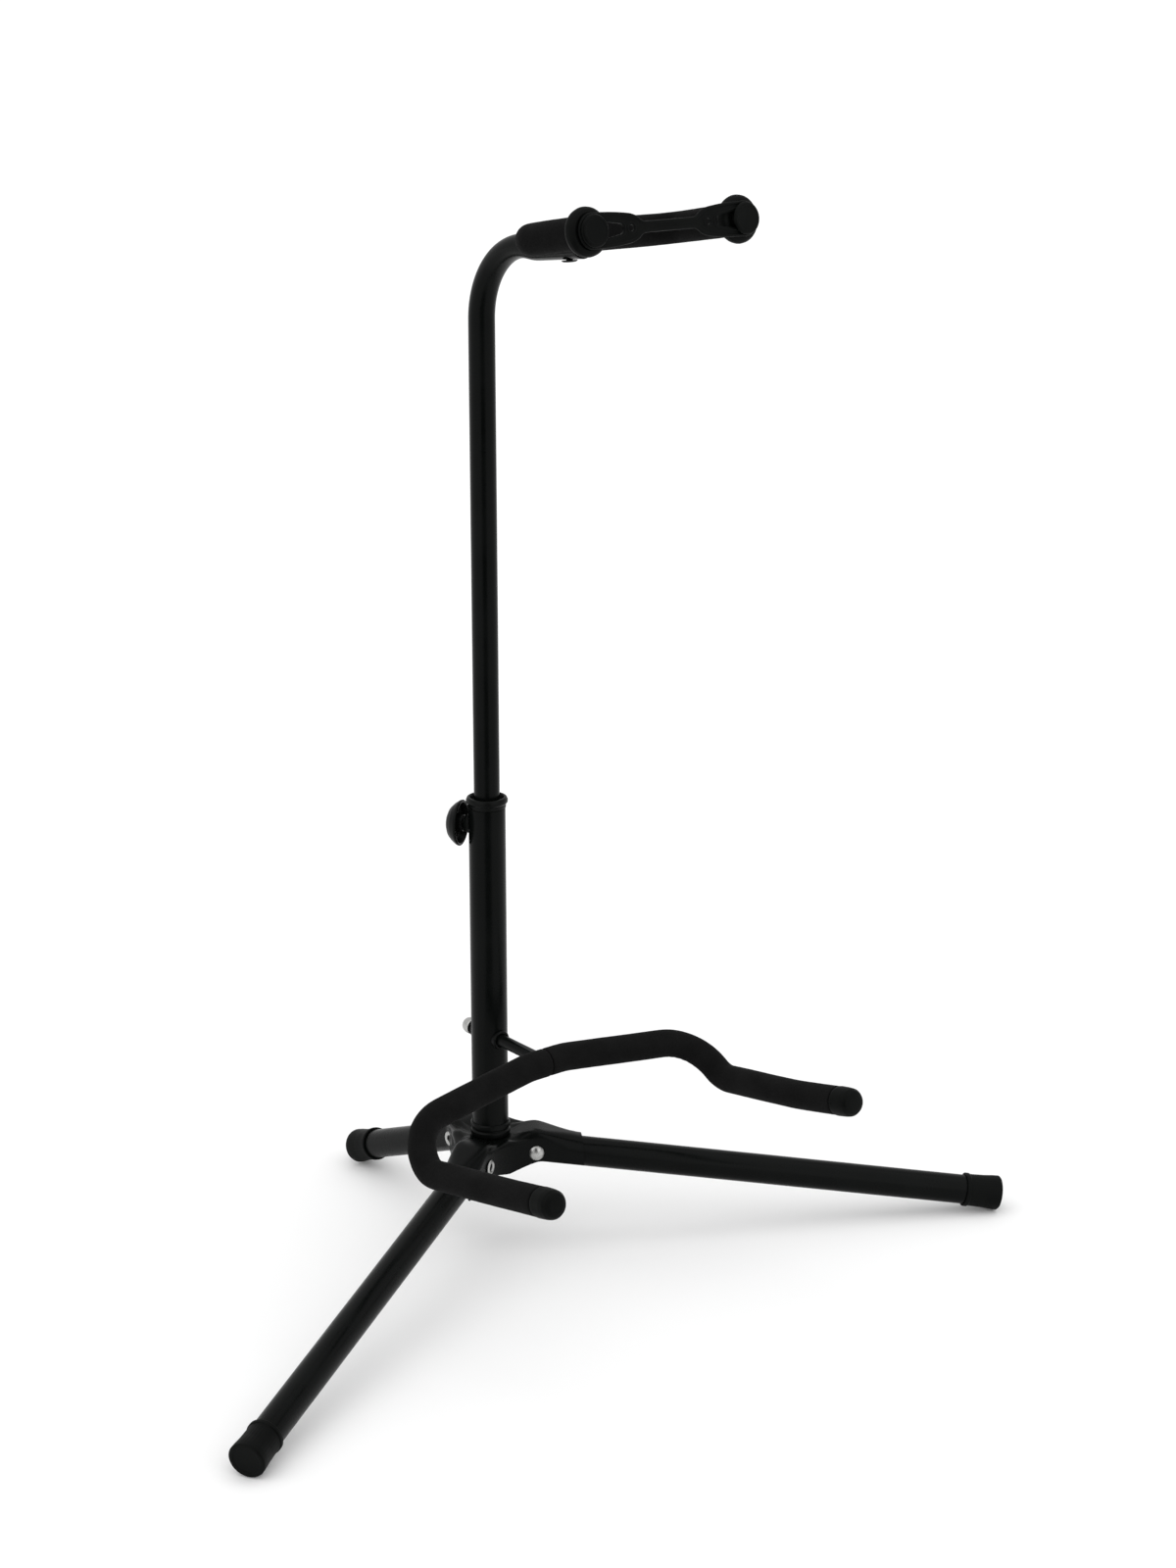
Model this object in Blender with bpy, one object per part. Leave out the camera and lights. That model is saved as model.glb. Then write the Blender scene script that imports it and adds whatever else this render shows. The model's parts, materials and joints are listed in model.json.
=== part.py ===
"""Tubular tripod guitar stand: a telescoping mast with a padded neck yoke, a padded body
cradle on a turning stem, and three riveted fold-down legs under a pressed-steel hub.

Metres, +Z up. The front of the stand looks along -Y and left is -X. The mast stands on the
Z axis and the three feet rest on z = 0.
"""
import math

import bmesh
import bpy
from mathutils import Matrix, Vector

GAP = 0.0003                 # clearance between pieces that touch in the real object

# legs and hub
LEG_D = 0.0195
LEG_WALL = 0.0012
PIVOT_R = 0.0289             # rivet distance from the mast axis
PIVOT_Z = 0.0629
LEG_TAIL = 0.0065           # leg left inboard of the rivet
FRONT_REACH = 0.3426         # mast axis to the end of a front foot
BACK_REACH = 0.1578
FOOT_R = 0.0115
FOOT_LEN = 0.0245
FOOT_END = 0.003
HUB_WALL = 0.0013
HUB_HALF = 0.0118            # half width of one channel arm
HUB_ARM = 0.060
HUB_FLAT_FROM = 0.024        # where the straight channel walls begin
HUB_TOP = 0.0715
HUB_PEAK = 0.0776
HUB_PEAK_AT = 0.032
HUB_SKIRT = 0.0572
HUB_LOBE_DIP = 0.0055        # extra skirt depth midway between arms
HUB_EDGE_R = 0.0105
RIVET_D = 0.006
RIVET_HEAD_D = 0.0105
LEGS = (("left", -149.5, FRONT_REACH), ("right", -30.5, FRONT_REACH), ("back", 90.0, BACK_REACH))

# masts
LOWER_D = 0.0235
LOWER_WALL = 0.0017
LOWER_TOP = 0.2964
UPPER_D = 0.0164
UPPER_WALL = 0.0012
UPPER_FOOT_Z = 0.1506
BEND_R = 0.048
BEND_CORNER_Z = 0.6464
HEAD_TILT = math.radians(6.6)
HEAD_RUN = 0.1015
BEND_FLAT = 0.23             # share of the inner radius lost where the tube is bent
BEND_FADE = 0.016            # length past the bend in which the tube gets round again
COLLAR_D = 0.0260
LIP_D = 0.0266
LOCK_Z = 0.2846
LOCK_AZIMUTH = math.radians(126.0)
KNOB_R = 0.0149
KNOB_IN = 0.0165             # rim of the hollow side, from the mast axis
KNOB_OUT = 0.0262

# body cradle
STEM_D = 0.008
STEM_Z = 0.1424
STEM_REAR = 0.0235
CRADLE_Y = -0.061
CRADLE_HALF = 0.1159         # sideways reach of the corners
CRADLE_ROLL = math.radians(-1.07)   # how far it stands turned on its stem
PRONG_BELLY = 0.1138         # sideways reach halfway along a prong
PRONG_HALF = 0.1150
PRONG_TIP_Y = -0.2243
FOAM_D = 0.0180
CAP_LEN = 0.0155

# neck yoke, built in its own frame: X across, Y up, Z along the prongs
YOKE_AT = Vector((0.0, -0.113, 0.6647))
YOKE_TILT = math.radians(9.6)
YOKE_HALF = 0.0538
YOKE_ROD_D = 0.010
YOKE_FOAM_D = 0.0184
YOKE_CORNER = 0.0155
ARM_LEN = 0.0578              # crossbar axis to the back of the knob flange
FLANGE_R = 0.0138
FLANGE_T = 0.0077
NECK_R = 0.0055
NECK_LEN = 0.0029
BUTTON_R = 0.0091
BUTTON_T = 0.0023
STRAP_T = 0.0023


def clear_scene():
    for obj in list(bpy.data.objects):
        bpy.data.objects.remove(obj, do_unlink=True)


def material(name, color, rough, metal=0.0):
    mat = bpy.data.materials.new(name)
    mat.use_nodes = True
    shader = mat.node_tree.nodes["Principled BSDF"]
    shader.inputs["Base Color"].default_value = (*color, 1.0)
    shader.inputs["Roughness"].default_value = rough
    shader.inputs["Metallic"].default_value = metal
    mat.diffuse_color = (*color, 1.0)
    return mat


PAINT = ((0.016, 0.017, 0.018), 0.38, 0.0)
RUBBER = ((0.010, 0.010, 0.011), 0.62, 0.0)
FOAM = ((0.013, 0.013, 0.014), 0.92, 0.0)
PLASTIC = ((0.014, 0.014, 0.015), 0.48, 0.0)
STEEL = ((0.62, 0.62, 0.63), 0.28, 1.0)


def finish(name, bm, look, pivot=(0.0, 0.0, 0.0), sharp=35.0):
    """Turn a bmesh into a named, smooth-shaded object whose origin is its joint point."""
    bmesh.ops.remove_doubles(bm, verts=bm.verts, dist=1e-7)
    bmesh.ops.recalc_face_normals(bm, faces=bm.faces)
    mesh = bpy.data.meshes.new(name)
    bm.to_mesh(mesh)
    bm.free()
    mesh.transform(Matrix.Translation(-Vector(pivot)))
    obj = bpy.data.objects.new(name, mesh)
    obj.location = pivot
    bpy.context.scene.collection.objects.link(obj)
    mesh.shade_smooth()
    mesh.set_sharp_from_angle(angle=math.radians(sharp))
    mesh.materials.append(material("mat_" + name, *look))
    return obj


def lathe(profile, frame=None, seg=20):
    """Solid of revolution about local Z from a closed (radius, z) outline."""
    bm = bmesh.new()
    rings = []
    for r, z in profile:
        if r < 1e-7:
            rings.append([bm.verts.new((0.0, 0.0, z))])
            continue
        ring = []
        for i in range(seg):
            a = 2.0 * math.pi * i / seg
            ring.append(bm.verts.new((r * math.cos(a), r * math.sin(a), z)))
        rings.append(ring)
    count = len(rings)
    for k in range(count):
        a, b = rings[k], rings[(k + 1) % count]
        if len(a) == 1 and len(b) == 1:
            continue
        for i in range(seg):
            j = (i + 1) % seg
            loop = [a[i % len(a)], a[j % len(a)], b[j % len(b)], b[i % len(b)]]
            bm.faces.new(list(dict.fromkeys(loop)))
    if frame is not None:
        bm.transform(frame)
    return bm


def frame_to(origin, z_axis, x_hint=(0.0, 0.0, 1.0)):
    """Matrix whose local Z runs along z_axis."""
    z = Vector(z_axis).normalized()
    x = Vector(x_hint) - z * Vector(x_hint).dot(z)
    if x.length < 1e-6:
        x = Vector((1.0, 0.0, 0.0)) - z * z.x
    x.normalize()
    y = z.cross(x)
    rot = Matrix((x, y, z)).transposed().to_4x4()
    return Matrix.Translation(Vector(origin)) @ rot


def rod(radius, start, end, seg=20):
    start, end = Vector(start), Vector(end)
    length = (end - start).length
    outline = [(0.0, 0.0), (radius, 0.0), (radius, length), (0.0, length)]
    return lathe(outline, frame_to(start, end - start), seg)


def bend(points, radii, step=math.radians(13.0)):
    """Polyline with each inner corner rounded to the given radius."""
    pts = [Vector(p) for p in points]
    path = [pts[0]]
    for before, here, after, r in zip(pts, pts[1:], pts[2:], radii):
        u = (before - here).normalized()
        v = (after - here).normalized()
        inner = u.angle(v)
        reach = r / math.tan(inner / 2.0)
        center = here + (u + v).normalized() * (r / math.sin(inner / 2.0))
        first = here + u * reach - center
        last = here + v * reach - center
        turn = first.angle(last)
        count = max(2, math.ceil(turn / step))
        side = (last - first * (first.dot(last) / first.length_squared)).normalized() * r
        for k in range(count + 1):
            a = turn * k / count
            path.append(center + first * math.cos(a) + side * math.sin(a))
    path.append(pts[-1])
    return path


def pipe(path, outer, inner=0.0, seg=16, ease=0.0):
    """Round bar or tube along a path; ease rounds the two outer end edges."""
    pts = [Vector(p) for p in path]
    stations = [(p, outer) for p in pts]
    if ease > 0.0:
        head = (pts[1] - pts[0]).normalized()
        tail = (pts[-2] - pts[-1]).normalized()
        stations = [(pts[0], outer - ease), (pts[0] + head * ease * 0.3, outer - ease * 0.3),
                    (pts[0] + head * ease, outer)]
        stations += [(p, outer) for p in pts[1:-1]]
        stations += [(pts[-1] + tail * ease, outer), (pts[-1] + tail * ease * 0.3, outer - ease * 0.3),
                     (pts[-1], outer - ease)]
    tangents = []
    for k in range(len(stations)):
        a = stations[max(k - 1, 0)][0]
        b = stations[min(k + 1, len(stations) - 1)][0]
        tangents.append((b - a).normalized())
    side = tangents[0].orthogonal().normalized()
    bm = bmesh.new()
    skins = []
    for wanted in ((None, inner) if inner > 0.0 else (None,)):
        x = side.copy()
        rings = []
        for (center, radius), tangent in zip(stations, tangents):
            x = (x - tangent * x.dot(tangent)).normalized()
            y = tangent.cross(x)
            r = radius if wanted is None else wanted
            ring = []
            for i in range(seg):
                a = 2.0 * math.pi * i / seg
                ring.append(bm.verts.new(center + x * (r * math.cos(a)) + y * (r * math.sin(a))))
            rings.append(ring)
        for a, b in zip(rings, rings[1:]):
            for i in range(seg):
                j = (i + 1) % seg
                bm.faces.new((a[i], a[j], b[j], b[i]))
        skins.append(rings)
    for end in (0, -1):
        if len(skins) == 2:
            a, b = skins[0][end], skins[1][end]
            for i in range(seg):
                j = (i + 1) % seg
                bm.faces.new((a[i], a[j], b[j], b[i]))
        else:
            bm.faces.new(skins[0][end])
    return bm


def merge_with(obj, bm, operation):
    """Boolean obj with a temporary solid and keep the evaluated result."""
    bmesh.ops.recalc_face_normals(bm, faces=bm.faces)
    mesh = bpy.data.meshes.new("tool")
    bm.to_mesh(mesh)
    bm.free()
    tool = bpy.data.objects.new("tool", mesh)
    bpy.context.scene.collection.objects.link(tool)
    tool.hide_render = True
    tool.display_type = "WIRE"
    mod = obj.modifiers.new("cut", "BOOLEAN")
    mod.operation = operation
    mod.solver = "EXACT"
    mod.object = tool
    bpy.context.view_layer.update()
    graph = bpy.context.evaluated_depsgraph_get()
    result = bpy.data.meshes.new_from_object(obj.evaluated_get(graph))
    result.name = obj.name
    obj.modifiers.remove(mod)
    obj.data = result
    bpy.data.objects.remove(tool, do_unlink=True)
    result.shade_smooth()
    result.set_sharp_from_angle(angle=math.radians(35.0))


def cut(obj, bm):
    merge_with(obj, bm, "DIFFERENCE")


def join(obj, bm):
    merge_with(obj, bm, "UNION")


def leg_axes(azimuth, reach):
    """Pivot point, outward leg direction and rivet direction of one leg."""
    a = math.radians(azimuth)
    out = Vector((math.cos(a), math.sin(a), 0.0))
    pivot = out * PIVOT_R + Vector((0.0, 0.0, PIVOT_Z))
    slope = 0.0
    for _ in range(5):
        slope = math.atan2(PIVOT_Z - FOOT_R * math.cos(slope), reach - PIVOT_R)
    along = out * math.cos(slope) - Vector((0.0, 0.0, math.sin(slope)))
    across = Vector((math.sin(a), -math.cos(a), 0.0))
    length = (reach - PIVOT_R) / math.cos(slope)
    return pivot, along, across, length, slope


def ridge(u, slope):
    """Height of an arm's crest above the floor at distance u from the mast axis."""
    leg_top = PIVOT_Z - (HUB_ARM - PIVOT_R) * math.tan(slope) + LEG_D / 2.0 / math.cos(slope)
    tip = leg_top + HUB_WALL + GAP
    marks = ((0.0, HUB_TOP), (0.0136, HUB_TOP), (0.0215, HUB_TOP + 0.0054),
             (HUB_PEAK_AT, HUB_PEAK), (HUB_ARM, tip))
    for (u0, z0), (u1, z1) in zip(marks, marks[1:]):
        if u <= u1:
            return z0 + (z1 - z0) * (u - u0) / (u1 - u0)
    return marks[-1][1]


def hub_outline():
    """One arm's edge from +60 to -60 degrees as (u, v, lobe share, open end) points."""
    center_u = HUB_FLAT_FROM
    center_v = center_u * math.tan(math.radians(60.0))
    arc_r = center_v - HUB_HALF
    half = [(HUB_ARM, HUB_HALF * t, 0.0, True) for t in (0.0, 0.35, 0.65, 0.88)]
    half += [(u, HUB_HALF, 0.0, False) for u in (HUB_ARM, 0.048, 0.036, center_u)]
    for k in range(1, 5):
        a = math.radians(-90.0 - 30.0 * k / 4.0)
        share = k / 4.0
        half.append((center_u + arc_r * math.cos(a), center_v + arc_r * math.sin(a), share, False))
    return half


def hub_bracket():
    """Inverted three-armed cup: crest along each arm, skirt all round, open arm ends."""
    bm = bmesh.new()
    half = hub_outline()
    edge = []
    for _, azimuth, reach in LEGS:
        slope = leg_axes(azimuth, reach)[4]
        turn = Matrix.Rotation(math.radians(azimuth), 3, "Z")
        mirrored = [(u, -v, share, end) for u, v, share, end in reversed(half[:-1]) if v > 0.0]
        for u, v, share, end in mirrored + half:
            edge.append((turn, slope, u, v, share, end))
    scales = (0.225, 0.36, 0.45, 0.54, 0.76, 0.90, 0.97, 1.0)
    top = bm.verts.new((0.0, 0.0, HUB_TOP))
    rings = []
    for s in scales:
        ring = []
        for turn, slope, u, v, share, end in edge:
            inset = HUB_HALF - min(abs(v) * s, HUB_HALF)
            arm_drop = 0.0
            if inset < HUB_EDGE_R:
                arm_drop = HUB_EDGE_R - math.sqrt(HUB_EDGE_R ** 2 - (HUB_EDGE_R - inset) ** 2)
            lobe_in = (1.0 - s) * math.hypot(u, v)
            lobe_r = 0.0032
            lobe_drop = 0.0
            if lobe_in < lobe_r:
                lobe_drop = lobe_r - math.sqrt(lobe_r ** 2 - (lobe_r - lobe_in) ** 2)
            drop = arm_drop * (1.0 - share) + lobe_drop * share
            level = ridge(u * s, slope) * (1.0 - share) + HUB_TOP * share
            spot = turn @ Vector((u * s, v * s, 0.0))
            ring.append(bm.verts.new((spot.x, spot.y, level - drop)))
        rings.append(ring)
    count = len(edge)
    for i in range(count):
        j = (i + 1) % count
        bm.faces.new((top, rings[0][i], rings[0][j]))
        for a, b in zip(rings, rings[1:]):
            bm.faces.new((a[i], b[i], b[j], a[j]))
    foot = []
    for i, (turn, slope, u, v, share, end) in enumerate(edge):
        p = rings[-1][i].co
        low = HUB_SKIRT - HUB_LOBE_DIP * share - max(0.0, u - 0.030) * math.tan(slope)
        foot.append(bm.verts.new((p.x, p.y, low)))
    for i in range(count):
        j = (i + 1) % count
        if edge[i][5] or edge[j][5]:
            continue
        bm.faces.new((rings[-1][i], foot[i], foot[j], rings[-1][j]))
    for vert in [v for v in bm.verts if not v.link_faces]:
        bm.verts.remove(vert)
    obj = finish("hub_bracket", bm, PAINT, sharp=50.0)
    wall = obj.modifiers.new("wall", "SOLIDIFY")
    wall.thickness = HUB_WALL
    wall.offset = -1.0
    wall.use_even_offset = True
    for _, azimuth, reach in LEGS:
        pivot, _, across, _, _ = leg_axes(azimuth, reach)
        cut(obj, rod(RIVET_D / 2.0 + GAP, pivot - across * 0.02, pivot + across * 0.02))
        obj.modifiers.clear()
    return obj


def leg(name, azimuth, reach):
    pivot, along, across, length, _ = leg_axes(azimuth, reach)
    path = [pivot - along * LEG_TAIL, pivot + along * (length - FOOT_END - GAP)]
    bm = pipe(path, LEG_D / 2.0, LEG_D / 2.0 - LEG_WALL, seg=28)
    obj = finish("leg_" + name, bm, PAINT, pivot)
    cut(obj, rod(RIVET_D / 2.0 + GAP, pivot - across * 0.02, pivot + across * 0.02))
    return obj


def foot(name, azimuth, reach):
    """Rubber cup over the leg end with a bead at its mouth and a flared sole."""
    pivot, along, _, length, _ = leg_axes(azimuth, reach)
    bore = LEG_D / 2.0 + GAP
    mouth, end = -FOOT_LEN, 0.0
    outline = [(bore, mouth), (bore + 0.0008, mouth), (bore + 0.0011, mouth + 0.0006),
               (bore + 0.0011, mouth + 0.0020), (bore + 0.0006, mouth + 0.0028),
               (bore + 0.0006, end - 0.0110), (FOOT_R - 0.0001, end - 0.0045), (FOOT_R, end - 0.0010),
               (FOOT_R, end - 0.0006), (FOOT_R - 0.0006, end), (0.0, end), (0.0, end - FOOT_END),
               (bore, end - FOOT_END)]
    bm = lathe(outline, frame_to(pivot + along * length, along))
    return finish("foot_" + name, bm, RUBBER, pivot)


def rivet(name, azimuth, reach):
    """Domed head on one side, shank through the channel and leg, rolled hollow end."""
    pivot, _, across, _, _ = leg_axes(azimuth, reach)
    wall = HUB_HALF + GAP
    r, h = RIVET_D / 2.0, RIVET_HEAD_D / 2.0
    outline = [(0.0, wall + 0.0030), (h * 0.45, wall + 0.0027), (h * 0.78, wall + 0.0018),
               (h * 0.97, wall + 0.0006), (h * 0.97, wall), (r, wall), (r, -wall), (r + 0.0018, -wall),
               (r + 0.0020, -wall - 0.0007), (r + 0.0010, -wall - 0.0014), (r - 0.0003, -wall - 0.0012),
               (r - 0.0009, -wall - 0.0002), (r - 0.0009, -wall + 0.0060), (0.0, -wall + 0.0060)]
    bm = lathe(outline, frame_to(pivot, across), seg=14)
    return finish("rivet_" + name, bm, STEEL, pivot)


def lower_tube():
    path = [(0.0, 0.0, HUB_TOP + GAP), (0.0, 0.0, LOWER_TOP)]
    bm = pipe(path, LOWER_D / 2.0, LOWER_D / 2.0 - LOWER_WALL, seg=32)
    obj = finish("lower_tube", bm, PAINT)
    cut(obj, rod(STEM_D / 2.0 + GAP, (0.0, -0.02, STEM_Z), (0.0, 0.02, STEM_Z)))
    cut(obj, rod(0.0033, lock_point(0.005), lock_point(0.02)))
    return obj


def base_collar():
    """Two-ridged trim ring round the foot of the lower tube."""
    bore = LOWER_D / 2.0 + GAP
    r = COLLAR_D / 2.0
    low = HUB_TOP + 0.0007
    outline = [(bore, low), (r - 0.0004, low), (r, low + 0.0008), (r, low + 0.0046),
               (r - 0.0005, low + 0.0053), (r - 0.0005, low + 0.0058), (r - 0.0001, low + 0.0064),
               (r - 0.0001, low + 0.0100), (r - 0.0006, low + 0.0108), (bore, low + 0.0110)]
    return finish("base_collar", lathe(outline, seg=24), PLASTIC)


def top_bush():
    """Guide bush: a lip over the lower tube's mouth and a short sleeve inside it."""
    bore = UPPER_D / 2.0 + GAP
    sleeve = LOWER_D / 2.0 - LOWER_WALL - GAP
    base = LOWER_TOP + GAP
    r = LIP_D / 2.0
    outline = [(bore, base - 0.0072), (sleeve, base - 0.0072), (sleeve, base), (r - 0.0006, base),
               (r, base + 0.0010), (r, base + 0.0022), (r - 0.0008, base + 0.0046),
               (r - 0.0011, base + 0.0062), (r - 0.0018, base + 0.0069), (bore + 0.0024, base + 0.0069),
               (bore + 0.0012, base + 0.0058), (bore, base + 0.0036)]
    return finish("top_bush", lathe(outline, seg=24), PLASTIC)


def lock_axis():
    """Outward direction of the lock screw, behind the mast and towards the left."""
    return Vector((math.cos(LOCK_AZIMUTH), math.sin(LOCK_AZIMUTH), 0.0))


def lock_point(distance):
    return lock_axis() * distance + Vector((0.0, 0.0, LOCK_Z))


def clamp_boss():
    """Threaded boss welded to the side of the lower tube."""
    axis = frame_to(lock_point(0.0), lock_axis())
    outline = [(0.0033, 0.009), (0.0062, 0.009), (0.0062, 0.0140), (0.0056, 0.0145), (0.0033, 0.0145)]
    obj = finish("clamp_boss", lathe(outline, axis), PAINT)
    low, high = (0.0, 0.0, LOCK_Z - 0.02), (0.0, 0.0, LOCK_Z + 0.02)
    cut(obj, rod(LOWER_D / 2.0 + GAP, low, high, seg=32))
    return obj


def lock_screw():
    tip = UPPER_D / 2.0 + GAP
    outline = [(0.0, tip), (0.0022, tip), (0.003, tip + 0.0008), (0.003, 0.0228), (0.0, 0.0228)]
    axis = frame_to(lock_point(0.0), lock_axis())
    return finish("lock_screw", lathe(outline, axis, seg=20), STEEL, lock_point(KNOB_IN))


def lock_knob():
    """Dished round hand knob whose hollow side and hub face the tube."""
    y0, y1, r = KNOB_IN, KNOB_OUT, KNOB_R
    outline = [(0.0033, y0 - 0.0012), (0.0050, y0 - 0.0012), (0.0056, y0 - 0.0006), (0.0060, y0 + 0.0052),
               (r - 0.0026, y0 + 0.0052), (r - 0.0019, y0 + 0.0006), (r - 0.0012, y0), (r, y0 + 0.0010),
               (r, y0 + 0.0050), (r - 0.0012, y0 + 0.0072), (r - 0.0046, y1 - 0.0006), (r - 0.0075, y1),
               (0.0, y1), (0.0, 0.0232), (0.0033, 0.0232)]
    axis = frame_to(lock_point(0.0), lock_axis())
    return finish("lock_knob", lathe(outline, axis, seg=24), PLASTIC, lock_point(KNOB_IN))


def head_point(run):
    """Point on the upper tube's forward line, run metres from its corner."""
    return Vector((0.0, -run * math.cos(HEAD_TILT), BEND_CORNER_Z + run * math.sin(HEAD_TILT)))


def yoke_screw_axis():
    origin = head_point(0.0875)
    down = Vector((0.0, -math.sin(HEAD_TILT), -math.cos(HEAD_TILT)))
    return origin, down


def flatten_bend(bm):
    """Pull in the inner side of the bend, and let it fade out over the straight after it."""
    turn = math.radians(90.0) - HEAD_TILT
    reach = BEND_R * math.tan(turn / 2.0)
    over = Vector((0.0, math.sin(HEAD_TILT), math.cos(HEAD_TILT)))
    ahead = Vector((0.0, -math.cos(HEAD_TILT), math.sin(HEAD_TILT)))
    corner = head_point(0.0)
    for vert in bm.verts:
        y = vert.co.y + BEND_R
        z = vert.co.z - BEND_CORNER_Z + reach
        past = ahead.dot(vert.co - corner) - reach
        if z > 0.0 and past <= 0.0:
            share = math.sin(min(1.0, math.atan2(z, y) / turn) * math.pi / 2.0)
            radial = math.hypot(y, z)
            pull = max(0.0, BEND_R - radial) * BEND_FLAT * share
            vert.co.y += y / radial * pull
            vert.co.z += z / radial * pull
        elif z > 0.0 and past < BEND_FADE:
            below = max(0.0, -over.dot(vert.co - corner))
            share = 0.5 + 0.5 * math.cos(math.pi * past / BEND_FADE)
            vert.co += over * (below * BEND_FLAT * share)


def upper_tube():
    points = [(0.0, 0.0, UPPER_FOOT_Z), (0.0, 0.0, BEND_CORNER_Z), head_point(HEAD_RUN)]
    path = bend(points, [BEND_R], math.radians(8.0))
    ahead = (path[-1] - path[-2]).normalized()
    fade = [path[-2] + ahead * (BEND_FADE * k / 4.0) for k in range(1, 5)]
    path = path[:-1] + fade + path[-1:]
    bm = pipe(path, UPPER_D / 2.0, UPPER_D / 2.0 - UPPER_WALL, seg=20)
    flatten_bend(bm)
    obj = finish("upper_tube", bm, PAINT)
    origin, down = yoke_screw_axis()
    cut(obj, rod(0.0023, origin, origin + down * 0.02))
    return obj


def mast_foot():
    """Cup-shaped glide on the bottom of the upper tube; it lands on the cradle stem."""
    skin = LOWER_D / 2.0 - LOWER_WALL - GAP
    bore = UPPER_D / 2.0 + GAP
    low = STEM_Z + STEM_D / 2.0 + GAP
    wall = UPPER_FOOT_Z - GAP
    outline = [(0.004, low), (skin - 0.0006, low), (skin, low + 0.0006), (skin, low + 0.020),
               (skin - 0.0005, low + 0.0205), (bore, low + 0.0205), (bore, wall), (0.004, wall)]
    return finish("mast_foot", lathe(outline, seg=24), PLASTIC)


def yoke_frame_matrix():
    rot = Matrix(((1.0, 0.0, 0.0), (0.0, math.sin(YOKE_TILT), math.cos(YOKE_TILT)),
                  (0.0, -math.cos(YOKE_TILT), math.sin(YOKE_TILT))))
    return Matrix.Translation(YOKE_AT) @ rot.transposed().to_4x4()


def yoke_path(length, sides=(-1.0, 1.0)):
    left, right = sides
    points = [(left * YOKE_HALF, 0.0, length), (left * YOKE_HALF, 0.0, 0.0),
              (right * YOKE_HALF, 0.0, 0.0), (right * YOKE_HALF, 0.0, length)]
    return [yoke_frame_matrix() @ p for p in bend(points, [YOKE_CORNER, YOKE_CORNER])]


def yoke_frame():
    """Steel U with a peg that plugs into the end of the upper tube."""
    end = ARM_LEN + FLANGE_T - 0.0022
    bm = pipe(yoke_path(end), YOKE_ROD_D / 2.0, seg=14)
    obj = finish("yoke_frame", bm, PAINT)
    peg_r = UPPER_D / 2.0 - UPPER_WALL - GAP
    join(obj, rod(peg_r, head_point(0.066), head_point(0.1105), seg=24))
    origin, down = yoke_screw_axis()
    cut(obj, rod(0.0023, origin, origin + down * 0.02))
    return obj


def yoke_screw():
    """Domed screw driven up through the tube wall into the peg."""
    origin, down = yoke_screw_axis()
    seat = UPPER_D / 2.0 + GAP
    outline = [(0.0, 0.0006), (0.0020, 0.0006), (0.0020, seat), (0.0048, seat), (0.0047, seat + 0.0004),
               (0.0038, seat + 0.0009), (0.0022, seat + 0.0012), (0.0, seat + 0.0013)]
    return finish("yoke_screw", lathe(outline, frame_to(origin, down), seg=16), PLASTIC)


def yoke_foam(name, side):
    """Foam sleeve over one half of the U, slit where the peg comes in."""
    length = ARM_LEN - GAP
    points = [(side * 0.00025, 0.0, 0.0), (side * YOKE_HALF, 0.0, 0.0), (side * YOKE_HALF, 0.0, length)]
    path = [yoke_frame_matrix() @ p for p in bend(points, [YOKE_CORNER])]
    bm = pipe(path, YOKE_FOAM_D / 2.0, YOKE_ROD_D / 2.0 + GAP, ease=0.0012)
    obj = finish("yoke_foam_" + name, bm, FOAM)
    peg_r = UPPER_D / 2.0 - UPPER_WALL - GAP + GAP
    cut(obj, rod(peg_r, head_point(0.09), head_point(0.1112), seg=24))
    return obj


def yoke_knob(name, side):
    """Rubber end knob: domed flange, neck for the strap and a front button."""
    base = yoke_frame_matrix() @ Matrix.Translation((side * YOKE_HALF, 0.0, ARM_LEN))
    bore = YOKE_ROD_D / 2.0 + GAP
    f, n, b = FLANGE_T, FLANGE_T + NECK_LEN, FLANGE_T + NECK_LEN + BUTTON_T
    outline = [(bore, 0.0), (FLANGE_R - 0.0030, 0.0), (FLANGE_R - 0.0008, 0.0011), (FLANGE_R, 0.0031),
               (FLANGE_R - 0.0003, 0.0050), (FLANGE_R - 0.0014, 0.0068), (FLANGE_R - 0.0030, f),
               (FLANGE_R - 0.0046, f - 0.0009), (NECK_R + 0.0008, f - 0.0009), (NECK_R, f), (NECK_R, n),
               (BUTTON_R - 0.0005, n), (BUTTON_R, n + 0.0006), (BUTTON_R, n + 0.0013),
               (BUTTON_R - 0.0006, b - 0.0003), (BUTTON_R - 0.0016, b), (0.0, b), (0.0, f - 0.0018),
               (bore, f - 0.0018)]
    return finish("yoke_knob_" + name, lathe(outline, base, seg=20), RUBBER)


def strap_outline():
    """Half outline of the strap, from its end past the button to the middle of the web."""
    wide, web = 0.0101, 0.0032
    pts = []
    for k in range(9):
        a = math.radians(90.0 * k / 8.0)
        pts.append((YOKE_HALF + 0.0095 * math.cos(a), wide * math.sin(a)))
    pts += [(0.0400, 0.0096), (0.0294, 0.0085), (0.0257, 0.0078), (0.0225, 0.0064), (0.0204, 0.0047)]
    pts += [(0.0187, web + 0.0004), (0.0168, web)]
    return pts


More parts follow.
